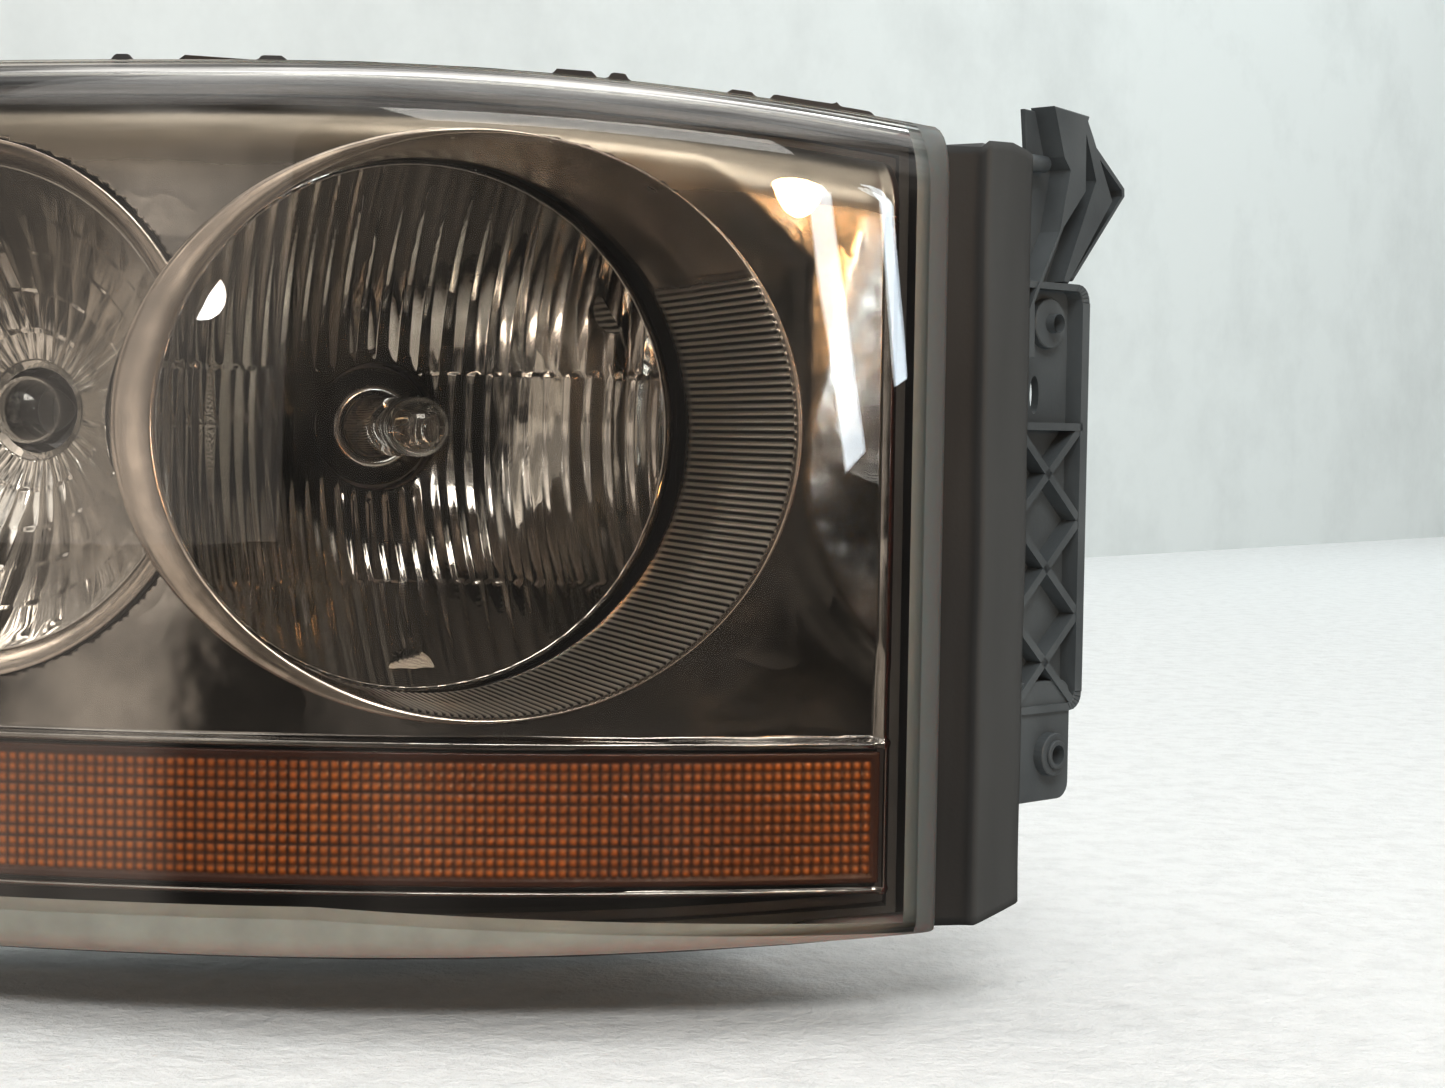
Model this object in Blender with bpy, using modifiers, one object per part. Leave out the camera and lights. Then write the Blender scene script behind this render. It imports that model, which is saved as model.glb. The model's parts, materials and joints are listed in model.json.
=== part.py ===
"""Swept-back truck headlamp for the vehicle's right side, built as separate pieces.

Axes: +X inboard, +Y rearward, +Z up, metres. The world origin is on the underside of the
top mounting flange, midway between its two bolt holes. Heights named here are measured
from the main beam's axis, which lies BEAM_Z above the origin.
"""
import math

import bmesh
import bpy
import numpy as np
from mathutils import Matrix, Vector

BEAM_Z = -0.100          # beam axis below the mounting flange
GAP = 0.0003             # clearance between pieces that touch

# Plan curve of the lens, followed from its inboard edge
LENS_EDGE_X = 0.114
LENS_EDGE_Y = -0.149
LENS_START_TURN = math.radians(6.0)
LENS_SWEEP_R = 0.540
LENS_CORNER_R = 0.120
LENS_CORNER_AT = 0.335
LENS_LENGTH = 0.405

# Outline heights of the lens
LENS_TOP = 0.091
LENS_BOTTOM = -0.137
TOP_FALL = 0.012
BOTTOM_RISE = 0.0053
FALL_SPAN = 0.180
END_FROM = 0.300
END_TOP_FALL = 0.021
END_BOTTOM_RISE = 0.027
END_ROUND = 0.018

LENS_WALL = 0.003
LENS_DEPTH = 0.032
ROUND_TOP = 0.024
ROUND_BOTTOM = 0.006
ROUND_IN = 0.008
ROUND_OUT = 0.010

# Housing
HOUSING_WALL = 0.0025
LIP_FRONT = 0.022
GROOVE_SIDE = 0.0012
GROOVE_DEEP = 0.005
REAR_Y = 0.030
REAR_SLOPE = -0.2
REAR_SHRINK = 0.93
REAR_CENTRE_X = -0.060
REAR_CENTRE_Z = -0.023

# Main bowl, its pivots and its aim adjuster
BOWL_R = 0.074
BOWL_FOCUS = 0.027
BOWL_RIM_Y = -0.050
BOWL_WALL = 0.0025
BOWL_ROOM = 0.0065
NECK_R = 0.019
NECK_WALL = 0.005
NECK_LENGTH = 0.022
PIVOT_X = 0.060
PIVOT_Y = -0.018
PIVOT_Z = 0.035
ADJUST_Z = -0.070
BALL_R = 0.004
BALL_FIT = 0.0004
SOCKET_R = 0.0075
SOCKET_LENGTH = 0.012
STUD_R = 0.0025
PIVOT_BOSS = 0.010
BOOT_SEAT_R = 0.033
CASE_HALF = 0.0125
CASE_DEEP = 0.014
GEAR_R = 0.009
GEAR_THICK = 0.006
GEAR_TEETH = 12

# Trim ring and its barrel
BARREL_R = 0.0785
BARREL_END_R = 0.0768
BARREL_WALL = 0.0012
BARREL_END_GAP = 0.007
RING_BACK = 0.0105
RING_THICK = 0.0025
RING_HALF_WIDTH = 0.0843
RING_HALF_HEIGHT = 0.0796
RING_SHIFT = -0.0043

# Bezel, amber strip and outboard bowl
BEZEL_BACK = 0.014
BEZEL_WALL = 0.002
BEZEL_INSET = 0.0085
AMBER_TOP = -0.0845
AMBER_BOTTOM = -0.1195
AMBER_FROM = 0.012
AMBER_TO = 0.335
AMBER_THICK = 0.0025
WINDOW_GAP = 0.001
TRAY_DEPTH = 0.022
TRAY_WALL = 0.0015
OUT_AT = 0.268
OUT_Z = 0.003
OUT_R = 0.066
OUT_FOCUS = 0.024
OUT_RIM_BACK = 0.021
OUT_WALL = 0.002
OUT_NECK_R = 0.012
MARKER_X = -0.150
MARKER_Z = -0.102
TURN_HOLE_R = 0.0125
MARKER_HOLE_R = 0.0095
TURN_WALL_BACK = 0.1125
SOCKET_REACH = 0.050
VENTS = ((-0.115, 0.050), (0.055, -0.030))

# Bulbs and sockets
PLUG_R = 0.0185
BULB_R = 0.0085
BULB_TIP_AHEAD = 0.007
EAR_REACH = 0.0028
TWIST_EARS = 3
EAR_THICK = 0.0040
CONNECTOR_LONG = 0.034

# Side seal and inboard bracket
SEAL_X = (0.1222, 0.1530)
SEAL_FRONT_Y = -0.126
SEAL_BACK_Y = -0.100
SEAL_TOP = 0.080
SEAL_BOTTOM = -0.1345
BRACKET_TURN = math.radians(24.0)
BRACKET_SPOT = (0.1480, -0.1140)
BRACKET_NEAR = 0.0065
BRACKET_WIDE = 0.042
FOOT_Y = -0.0985
BRACKET_DEEP = 0.008
BRACKET_SHEET = 0.0025
BRACKET_RIB = 0.002
BRACKET_TOP = 0.040
BRACKET_BOTTOM = -0.079
BRACKET_CELLS = 3
UPPER_BOSS = (0.022, 0.0275)
LOWER_BOSS = (0.022, -0.091)
BRACKET_SCREW_Z = (0.030, -0.030, -0.085)
BOSS_FACE_X = 0.1190
SCREW_Y = -0.0905
ARM_THICK = 0.004
ARM_OUTLINE = ((0.014, 0.034), (0.036, 0.036), (0.0380, 0.0440), (0.0540, 0.0624),
               (0.0625, 0.0732), (0.0390, 0.0920), (0.0225, 0.0935), (0.0210, 0.0670),
               (0.0150, 0.0480))
PEG = (0.0240, 0.002, 0.0775)

# Mounting flange on top of the housing
FLANGE_LONG = 0.120
FLANGE_WIDE = 0.028
FLANGE_THICK = 0.004
WEB_Y = 0.007
WEB_THICK = 0.004
BOLT_APART = 0.090
BOLT_HOLE_R = 0.0033

REARWARD = (-math.pi / 2, 0.0, 0.0)     # turns a piece's +Z to the rear
BOWL_APEX_Y = BOWL_RIM_Y + BOWL_R ** 2 / (4 * BOWL_FOCUS)
NECK_END_Y = BOWL_APEX_Y + NECK_LENGTH
EAR_Y = BOWL_APEX_Y + 0.007
SEAL_Y = NECK_END_Y - 0.0045


# ---------------------------------------------------------------- scene and helpers

for old in list(bpy.data.objects):
    bpy.data.objects.remove(old)

PARTS = bpy.data.collections.new("headlamp")
CUTTERS = bpy.data.collections.new("cutters")
bpy.context.scene.collection.children.link(PARTS)
bpy.context.scene.collection.children.link(CUTTERS)
CUTTERS.hide_render = True


def material(name, colour, roughness, metallic=0.0, alpha=1.0, transmission=0.0):
    """A plain Principled material."""
    made = bpy.data.materials.new(name)
    made.use_nodes = True
    shader = made.node_tree.nodes["Principled BSDF"]
    shader.inputs["Base Color"].default_value = (*colour, 1.0)
    shader.inputs["Roughness"].default_value = roughness
    shader.inputs["Metallic"].default_value = metallic
    shader.inputs["Transmission Weight"].default_value = transmission
    shader.inputs["Alpha"].default_value = alpha
    made.diffuse_color = (*colour, 1.0)
    return made


CLEAR = material("clear_lens", (0.90, 0.89, 0.84), 0.08, transmission=1.0)
CHROME = material("smoked_chrome", (0.55, 0.52, 0.48), 0.10, 1.0)
BRIGHT = material("bright_reflector", (0.80, 0.80, 0.79), 0.06, 1.0)
AMBER = material("amber_plastic", (0.75, 0.24, 0.02), 0.20, transmission=0.6)
BLACK = material("black_plastic", (0.035, 0.035, 0.037), 0.55)
RUBBER = material("black_rubber", (0.030, 0.030, 0.031), 0.75)
SEALANT = material("grey_sealant", (0.10, 0.10, 0.10), 0.80)
NYLON = material("white_nylon", (0.78, 0.77, 0.72), 0.45)
STEEL = material("zinc_steel", (0.62, 0.62, 0.60), 0.32, 1.0)
GLASS = material("bulb_glass", (0.96, 0.96, 0.96), 0.02, transmission=1.0)
GREY = material("grey_plastic", (0.28, 0.28, 0.29), 0.50)
BRASS = material("tinned_brass", (0.72, 0.60, 0.34), 0.30, 1.0)


def at(x, y, z):
    """World point at height z above the beam axis."""
    return Vector((x, y, z + BEAM_Z))


def place(obj, paint=None, tool=False):
    """Put an object in its collection with its material."""
    for home in list(obj.users_collection):
        home.objects.unlink(obj)
    (CUTTERS if tool else PARTS).objects.link(obj)
    if tool:
        obj.hide_render = True
        obj.display_type = "WIRE"
    if paint is not None:
        obj.data.materials.clear()
        obj.data.materials.append(paint)
    return obj


def from_bmesh(name, shape, paint=None, tool=False, smooth=True):
    """Turn a bmesh into a placed object, faces outward."""
    bmesh.ops.recalc_face_normals(shape, faces=shape.faces)
    for face in shape.faces:
        face.smooth = smooth
    data = bpy.data.meshes.new(name)
    shape.to_mesh(data)
    shape.free()
    obj = bpy.data.objects.new(name, data)
    PARTS.objects.link(obj)
    return place(obj, paint, tool)


def box(name, low, high, paint=None, tool=False):
    """An upright box between two corners given from the beam axis."""
    low = Vector(low)
    high = Vector(high)
    shape = bmesh.new()
    bmesh.ops.create_cube(shape, size=1.0)
    bmesh.ops.scale(shape, vec=high - low, verts=shape.verts)
    obj = from_bmesh(name, shape, paint, tool, smooth=False)
    obj.location = at(*((low + high) / 2))
    return obj


def rod(name, radius, length, spot, turn=REARWARD, paint=None, tool=False, sides=24):
    """A cylinder that starts at spot and runs along its turned +Z."""
    shape = bmesh.new()
    bmesh.ops.create_cone(shape, cap_ends=True, segments=sides, radius1=radius,
                          radius2=radius, depth=length)
    bmesh.ops.translate(shape, vec=(0.0, 0.0, length / 2), verts=shape.verts)
    obj = from_bmesh(name, shape, paint, tool)
    for face in obj.data.polygons:
        face.use_smooth = len(face.vertices) == 4
    obj.location = spot
    obj.rotation_euler = turn
    return obj


def turned(name, profile, spot, turn=REARWARD, paint=None, tool=False, steps=24,
           closed=False):
    """A profile of (radius, height) turned about its own Z, outer side running down."""
    points = [(radius, 0.0, height) for radius, height in profile]
    edges = [(i, i + 1) for i in range(len(points) - 1)]
    if closed:
        edges.append((len(points) - 1, 0))
    data = bpy.data.meshes.new(name)
    data.from_pydata(points, edges, [])
    obj = bpy.data.objects.new(name, data)
    PARTS.objects.link(obj)
    screw = obj.modifiers.new("turn", "SCREW")
    screw.steps = steps
    screw.render_steps = steps
    screw.use_merge_vertices = True
    screw.merge_threshold = 0.00001
    screw.use_smooth_shade = True
    obj.location = spot
    obj.rotation_euler = turn
    return place(obj, paint, tool)


def prism(name, outline, length, spot, turn=(0.0, 0.0, 0.0), paint=None, tool=False):
    """A flat outline of (x, y) raised along its own Z."""
    shape = bmesh.new()
    corners = [shape.verts.new((x, y, 0.0)) for x, y in outline]
    shape.faces.new(corners)
    raised = bmesh.ops.extrude_face_region(shape, geom=list(shape.faces))
    moved = [item for item in raised["geom"] if isinstance(item, bmesh.types.BMVert)]
    bmesh.ops.translate(shape, vec=(0.0, 0.0, length), verts=moved)
    obj = from_bmesh(name, shape, paint, tool, smooth=False)
    obj.location = spot
    obj.rotation_euler = turn
    return obj


def boolean(part, tool, operation):
    """Cut a tool out of a part, or join it on."""
    step = part.modifiers.new(tool.name, "BOOLEAN")
    step.operation = operation
    step.solver = "EXACT"
    step.object = tool
    return part


def cut(part, tool):
    return boolean(part, tool, "DIFFERENCE")


def fuse(part, tool):
    return boolean(part, tool, "UNION")


def loft(name, rings, paint=None, tool=False, wrap=False):
    """A closed skin through rings of equal point counts, with end caps or wrapped round."""
    shape = bmesh.new()
    rows = [[shape.verts.new(point) for point in ring] for ring in rings]
    count = len(rows[0])
    last = len(rows) if wrap else len(rows) - 1
    for i in range(last):
        here = rows[i]
        there = rows[(i + 1) % len(rows)]
        for j in range(count):
            k = (j + 1) % count
            shape.faces.new((here[j], here[k], there[k], there[j]))
    for row in () if wrap else (rows[0], rows[-1]):
        middle = shape.verts.new(sum((vert.co for vert in row), Vector()) / count)
        for j in range(count):
            shape.faces.new((row[j], row[(j + 1) % count], middle))
    return from_bmesh(name, shape, paint, tool)


def slab(name, front, rear, paint=None, tool=False):
    """A closed plate between two grids of points of the same size."""
    shape = bmesh.new()
    rows, columns = front.shape[:2]
    near = [[shape.verts.new(front[i, j]) for j in range(columns)] for i in range(rows)]
    far = [[shape.verts.new(rear[i, j]) for j in range(columns)] for i in range(rows)]
    for side in (near, far):
        for i in range(rows - 1):
            for j in range(columns - 1):
                shape.faces.new((side[i][j], side[i + 1][j],
                                 side[i + 1][j + 1], side[i][j + 1]))
    rim = ([(i, 0) for i in range(rows - 1)]
           + [(rows - 1, j) for j in range(columns - 1)]
           + [(i, columns - 1) for i in range(rows - 1, 0, -1)]
           + [(0, j) for j in range(columns - 1, 0, -1)])
    for (i, j), (m, n) in zip(rim, rim[1:] + rim[:1]):
        shape.faces.new((near[i][j], near[m][n], far[m][n], far[i][j]))
    bmesh.ops.remove_doubles(shape, verts=shape.verts, dist=0.000002)
    return from_bmesh(name, shape, paint, tool)


# ---------------------------------------------------------------- swept lens surface

def heading(s):
    """Turn of the plan curve away from straight outboard, at a distance s along it."""
    swept = LENS_START_TURN + min(s, LENS_CORNER_AT) / LENS_SWEEP_R
    return swept + max(s - LENS_CORNER_AT, 0.0) / LENS_CORNER_R


def plan_point(s, back):
    """Plan position at a distance s along the lens, moved back off its outer face."""
    turn = heading(min(s, LENS_CORNER_AT))
    x = LENS_EDGE_X - LENS_SWEEP_R * (math.sin(turn) - math.sin(LENS_START_TURN))
    y = LENS_EDGE_Y + LENS_SWEEP_R * (math.cos(LENS_START_TURN) - math.cos(turn))
    end = heading(s)
    x -= LENS_CORNER_R * (math.sin(end) - math.sin(turn))
    y += LENS_CORNER_R * (math.cos(turn) - math.cos(end))
    return x + back * math.sin(end), y + back * math.cos(end)


def sweep_y(x, back):
    """Y of the swept surface at x, for the long arc only."""
    centre_x = LENS_EDGE_X + LENS_SWEEP_R * math.sin(LENS_START_TURN)
    centre_y = LENS_EDGE_Y + LENS_SWEEP_R * math.cos(LENS_START_TURN)
    return centre_y - math.sqrt((LENS_SWEEP_R - back) ** 2 - (centre_x - x) ** 2)


def edge_drop(distance, radius):
    """How far a rounded edge has fallen back at a distance in from it."""
    if distance >= radius:
        return 0.0
    return radius - math.sqrt(max(radius ** 2 - (radius - distance) ** 2, 0.0))


def top_edge(s):
    fall = TOP_FALL * max(1.0 - s / FALL_SPAN, 0.0) ** 2
    end = max(s - END_FROM, 0.0) / (LENS_LENGTH - END_FROM)
    return LENS_TOP - fall - END_TOP_FALL * end ** 2 - edge_drop(LENS_LENGTH - s, END_ROUND)


def bottom_edge(s):
    rise = BOTTOM_RISE * max(1.0 - s / FALL_SPAN, 0.0) ** 2
    end = max(s - END_FROM, 0.0) / (LENS_LENGTH - END_FROM)
    return LENS_BOTTOM + rise + END_BOTTOM_RISE * end ** 2 + edge_drop(
        LENS_LENGTH - s, END_ROUND)


def edge_steps(first, last, near, far, middle):
    """Stations from first to last, closer together on the rounded edges at both ends."""
    quarter = np.sin(np.linspace(0.0, math.pi / 2, 4)) ** 2
    start = first + near * quarter
    stop = last - far * quarter[::-1]
    return np.concatenate([start, np.linspace(start[-1], stop[0], middle)[1:-1], stop])


def stations(inset):
    """Distances along the lens at which every swept piece has its points."""
    return edge_steps(inset, LENS_LENGTH - inset, ROUND_IN, END_ROUND, 14)


def skin(inset, back):
    """Grid of the lens's skin, taken in from its outline and back from its face."""
    s0, s1 = inset, LENS_LENGTH - inset
    radii = [max(r - inset, 0.001) for r in (ROUND_IN, ROUND_OUT, ROUND_BOTTOM, ROUND_TOP)]
    rows = []
    for s in stations(inset):
        low = bottom_edge(s) + inset
        high = top_edge(s) - inset
        row = []
        for z in edge_steps(low, high, radii[2], radii[3], 5):
            side = edge_drop(s - s0, radii[0]) + edge_drop(s1 - s, radii[1])
            rim = edge_drop(z - low, radii[2]) + edge_drop(high - z, radii[3])
            x, y = plan_point(s, back + math.hypot(side, rim))
            row.append((x, y, z + BEAM_Z))
        rows.append(row)
    return np.array(rows)


def outline_loop(inset, back):
    """Points round the lens's outline at one depth."""
    s_steps = stations(inset)
    loop = [(s, bottom_edge(s) + inset) for s in s_steps]
    last = s_steps[-1]
    rise = np.linspace(bottom_edge(last) + inset, top_edge(last) - inset, 6)[1:-1]
    loop += [(last, z) for z in rise]
    loop += [(s, top_edge(s) - inset) for s in s_steps[::-1]]
    first = s_steps[0]
    fall = np.linspace(top_edge(first) - inset, bottom_edge(first) + inset, 6)[1:-1]
    loop += [(first, z) for z in fall]
    return [Vector((*plan_point(s, back), z + BEAM_Z)) for s, z in loop]


def with_walls(grid, inset, back):
    """The same grid with walls from its rim back to one depth."""
    rows, columns = grid.shape[:2]
    wide = np.zeros((rows + 2, columns + 2, 3))
    wide[1:-1, 1:-1] = grid
    flat = grid.copy()
    for i, s in enumerate(stations(inset)):
        flat[i, :, 0], flat[i, :, 1] = plan_point(s, back)
    wide[0, 1:-1] = flat[0]
    wide[-1, 1:-1] = flat[-1]
    wide[1:-1, 0] = flat[:, 0]
    wide[1:-1, -1] = flat[:, -1]
    for i in (0, -1):
        for j in (0, -1):
            wide[i, j] = flat[i, j]
    return wide


def strip(s_range, z_range, back, steps=16):
    """Grid on the swept surface between two distances and two heights."""
    rows = []
    for s in np.linspace(*s_range, steps):
        rows.append([(*plan_point(s, back), z + BEAM_Z) for z in z_range])
    return np.array(rows)


def rear_y(x):
    return REAR_Y + REAR_SLOPE * x


OUT_TURN = heading(OUT_AT)
TURN_TURN = (-math.pi / 2, 0.0, -OUT_TURN)
BOOT_SEAT_Y = rear_y(-BOOT_SEAT_R - 0.004) + HOUSING_WALL + 0.0065
MARKER_WALL_Y = rear_y(MARKER_X) + 0.006


# ---------------------------------------------------------------- lens, sealant, housing

def outer_lens():
    """Clear cover: swept face with rounded edges and side walls into the housing."""
    outer = with_walls(skin(0.0, 0.0), 0.0, LENS_DEPTH)
    inner = with_walls(skin(LENS_WALL, LENS_WALL), LENS_WALL, LENS_DEPTH)
    return slab("outer_lens", outer, inner, CLEAR)


def lens_sealant():
    """Bead under the lens's wall, round the whole groove."""
    floor = LENS_DEPTH + GROOVE_DEEP - GAP
    top = LENS_DEPTH + GAP
    inner = LENS_WALL
    rings = [outline_loop(0.0, top), outline_loop(inner, top),
             outline_loop(inner, floor), outline_loop(0.0, floor)]
    return loft("lens_sealant", rings, SEALANT, wrap=True)


def rear_ring(inset, lift):
    """The rim's outline shrunk onto the sloping rear wall."""
    ring = []
    for point in outline_loop(inset, LENS_DEPTH + GROOVE_DEEP):
        x = REAR_CENTRE_X + (point.x - REAR_CENTRE_X) * REAR_SHRINK
        z = point.z - BEAM_Z
        z = REAR_CENTRE_Z + (z - REAR_CENTRE_Z) * REAR_SHRINK
        ring.append(at(x, rear_y(x) + lift, z))
    return ring


def between(first, second, share):
    return [a.lerp(b, share) for a, b in zip(first, second)]


def housing():
    """Open tub with a grooved rim for the lens, bored and flanged for what it carries."""
    lip = -GROOVE_SIDE
    outer = lip - HOUSING_WALL
    inner = LENS_WALL + GROOVE_SIDE
    floor = LENS_DEPTH + GROOVE_DEEP
    shoulder = floor + HOUSING_WALL
    out_rear = rear_ring(inner, HOUSING_WALL)
    in_rear = rear_ring(inner + HOUSING_WALL, 0.0)
    out_rim = outline_loop(inner, shoulder + 0.001)
    in_rim = outline_loop(inner + HOUSING_WALL, shoulder)
    rings = [out_rear, between(out_rim, out_rear, 0.5), out_rim,
             outline_loop(outer, shoulder),
             outline_loop(outer, LIP_FRONT), outline_loop(lip, LIP_FRONT),
             outline_loop(lip, floor), outline_loop(inner, floor),
             outline_loop(inner, LENS_DEPTH), outline_loop(inner + HOUSING_WALL, LENS_DEPTH),
             in_rim, between(in_rim, in_rear, 0.5), in_rear]
    tub = loft("housing", rings, BLACK)

    web = box("flange_web", (-FLANGE_LONG / 2, WEB_Y, 0.0745),
              (FLANGE_LONG / 2, WEB_Y + WEB_THICK, -BEAM_Z + 0.001), tool=True)
    fuse(tub, web)
    plate = box("flange_plate", (-FLANGE_LONG / 2, -FLANGE_WIDE / 2, -BEAM_Z),
                (FLANGE_LONG / 2, FLANGE_WIDE / 2, -BEAM_Z + FLANGE_THICK), tool=True)
    fuse(tub, plate)
    collar_y = rear_y(0.0) - 0.006
    fuse(tub, rod("boot_collar", BOOT_SEAT_R + 0.0025, BOOT_SEAT_Y - collar_y,
                  at(0.0, collar_y, 0.0), tool=True, sides=32))
    fuse(tub, box("lower_tab", (-0.175, 0.050, -0.158), (-0.125, 0.055, -0.1235),
                  tool=True))
    for side in (-1, 1):
        cut(tub, rod(f"bolt_hole_{side}", BOLT_HOLE_R, 0.03,
                     at(side * BOLT_APART / 2, 0.008, -BEAM_Z - 0.01),
                     (0.0, 0.0, 0.0), tool=True))
        fuse(tub, rod(f"pivot_boss_{side}", 0.006, PIVOT_BOSS,
                      at(side * PIVOT_X, rear_y(side * PIVOT_X) - PIVOT_BOSS + 0.001,
                         PIVOT_Z), tool=True))
        cut(tub, rod(f"pivot_bore_{side}", STUD_R + GAP, PIVOT_BOSS + 0.004,
                     at(side * PIVOT_X, rear_y(side * PIVOT_X) - PIVOT_BOSS - 0.005,
                        PIVOT_Z), tool=True))
    cut(tub, rod("boot_hole", BOOT_SEAT_R - 0.004, 0.08, at(0.0, -0.02, 0.0), tool=True,
                 sides=32))
    cut(tub, rod("adjuster_hole", STUD_R + 0.002, 0.08, at(0.0, -0.02, ADJUST_Z),
                 tool=True))
    cut(tub, rod("tab_hole", BOLT_HOLE_R, 0.02, at(-0.150, 0.045, -0.142), tool=True))
    for x, z in VENTS:
        fuse(tub, rod(f"vent_spout_{x}", 0.0045, 0.010, at(x, rear_y(x) - 0.001, z),
                      tool=True))
        cut(tub, rod(f"vent_bore_{x}", 0.0028, 0.03, at(x, rear_y(x) - 0.010, z),
                     tool=True))
    for i, z in enumerate(BRACKET_SCREW_Z):
        fuse(tub, box(f"bracket_boss_{i}", (0.1115, SCREW_Y - 0.007, z - 0.007),
                      (BOSS_FACE_X, SCREW_Y + 0.007, z + 0.007), tool=True))
        cut(tub, rod(f"bracket_bore_{i}", 0.0024, 0.016,
                     at(BOSS_FACE_X + 0.004, SCREW_Y, z), (0.0, -math.pi / 2, 0.0),
                     tool=True))
    return tub


def turn_spot(back):
    """Point on the outboard bowl's axis, so far behind its rim plane."""
    return at(*plan_point(OUT_AT, OUT_RIM_BACK + back), OUT_Z)


# ---------------------------------------------------------------- bezel, ring, amber

def bezel():
    """Metallised panel with openings for both bowls and the amber strip."""
    front = skin(BEZEL_INSET, BEZEL_BACK)
    rear = skin(BEZEL_INSET, BEZEL_BACK + BEZEL_WALL)
    panel = slab("bezel", front, rear, CHROME)
    cut(panel, rod("ring_hole", BARREL_R + BARREL_WALL + 2 * GAP, 0.25,
                   at(0.0, -0.2, 0.0), tool=True, sides=48))
    cut(panel, rod("outboard_hole", OUT_R - 0.001, 0.08, turn_spot(-0.03), TURN_TURN,
                   tool=True, sides=48))
    window = slab("amber_window",
                  strip((AMBER_FROM - WINDOW_GAP, AMBER_TO + WINDOW_GAP),
                        (AMBER_BOTTOM - WINDOW_GAP, AMBER_TOP + WINDOW_GAP), 0.005),
                  strip((AMBER_FROM - WINDOW_GAP, AMBER_TO + WINDOW_GAP),
                        (AMBER_BOTTOM - WINDOW_GAP, AMBER_TOP + WINDOW_GAP), 0.025),
                  tool=True)
    cut(panel, window)
    return panel


def trim_ring(steps=48):
    """Crescent trim ring on the swept surface, with a barrel back to the main bowl."""
    end_y = BOWL_RIM_Y - BARREL_END_GAP
    rings = []
    for i in range(steps):
        angle = 2 * math.pi * i / steps
        across = math.cos(angle)
        up = math.sin(angle)
        a = (across / RING_HALF_WIDTH) ** 2 + (up / RING_HALF_HEIGHT) ** 2
        b = -2 * across * RING_SHIFT / RING_HALF_WIDTH ** 2
        c = (RING_SHIFT / RING_HALF_WIDTH) ** 2 - 1
        outer = (-b + math.sqrt(b * b - 4 * a * c)) / (2 * a)

        def spot(radius, y=None, back=0.0):
            x = radius * across
            if y is None:
                y = sweep_y(x, RING_BACK + back)
            return at(x, y, radius * up)

        rings.append([spot(outer), spot(BARREL_R), spot(BARREL_END_R, end_y),
                      spot(BARREL_END_R + BARREL_WALL, end_y),
                      spot(BARREL_R + BARREL_WALL, back=RING_THICK),
                      spot(outer, back=RING_THICK)])
    return loft("trim_ring", rings, CHROME, wrap=True)


def amber_insert():
    """Amber diffuser strip, seated in the bezel's window."""
    span = (AMBER_FROM, AMBER_TO)
    high = (AMBER_BOTTOM, AMBER_TOP)
    return slab("amber_insert", strip(span, high, BEZEL_BACK),
                strip(span, high, BEZEL_BACK + AMBER_THICK), AMBER)


def amber_tray():
    """Reflector trough behind the amber strip, open to the front."""
    front = BEZEL_BACK + AMBER_THICK + GAP
    deep = front + TRAY_DEPTH
    inset = 0.002

    def shell(step, back):
        """One skin of the trough: its floor, with walls reaching forward."""
        s0, s1 = AMBER_FROM + inset + step, AMBER_TO - inset - step
        z0, z1 = AMBER_BOTTOM + inset + step, AMBER_TOP - inset - step
        floor = strip((s0, s1), (z0, z1), back)
        mouth = strip((s0, s1), (z0, z1), front)
        wide = np.zeros((floor.shape[0] + 2, 4, 3))
        wide[1:-1, 1:3] = floor
        wide[1:-1, 0] = mouth[:, 0]
        wide[1:-1, 3] = mouth[:, 1]
        wide[0] = mouth[0][[0, 0, 1, 1]]
        wide[-1] = mouth[-1][[0, 0, 1, 1]]
        return wide

    tray = slab("amber_tray", shell(0.0, deep), shell(TRAY_WALL, deep - TRAY_WALL), CHROME)
    cut(tray, rod("tray_hole", 0.0085, 0.05, at(MARKER_X, -0.02, MARKER_Z), tool=True))
    return tray


def outboard_reflector():
    """Turn and parking bowl, turned outboard, cut away where the main barrel passes."""
    depth = OUT_R ** 2 / (4 * OUT_FOCUS)
    radii = np.linspace(OUT_R, OUT_NECK_R, 7)
    inside = [(r, depth - r * r / (4 * OUT_FOCUS)) for r in radii]
    neck_end = depth + 0.006
    outside = [(r + OUT_WALL * 0.7, h + OUT_WALL) for r, h in inside[::-1]]
    profile = [(OUT_NECK_R + OUT_WALL * 0.7, neck_end)]
    profile += outside
    profile += [(OUT_R + OUT_WALL * 0.7, 0.0)]
    profile += inside
    profile += [(OUT_NECK_R, neck_end)]
    bowl = turned("outboard_reflector", profile, turn_spot(0.0), TURN_TURN, BRIGHT,
                  steps=36, closed=True)
    room = [(math.sqrt(4 * BOWL_FOCUS * (BOWL_APEX_Y - y)) + BOWL_ROOM, y)
            for y in np.linspace(BOWL_APEX_Y - 0.006, BOWL_RIM_Y - 0.002, 8)]
    wide = BARREL_R + BARREL_WALL + 0.002
    cut(bowl, turned("barrel_room",
                     [(0.0, room[0][1])] + room + [(wide, BOWL_RIM_Y - 0.003),
                                                   (wide, -0.200), (0.0, -0.200)],
                     at(0.0, 0.0, 0.0), tool=True, steps=36))
    return bowl


# ---------------------------------------------------------------- main bowl and its aim

def bowl_y(radius):
    return BOWL_APEX_Y - radius * radius / (4 * BOWL_FOCUS)


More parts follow.
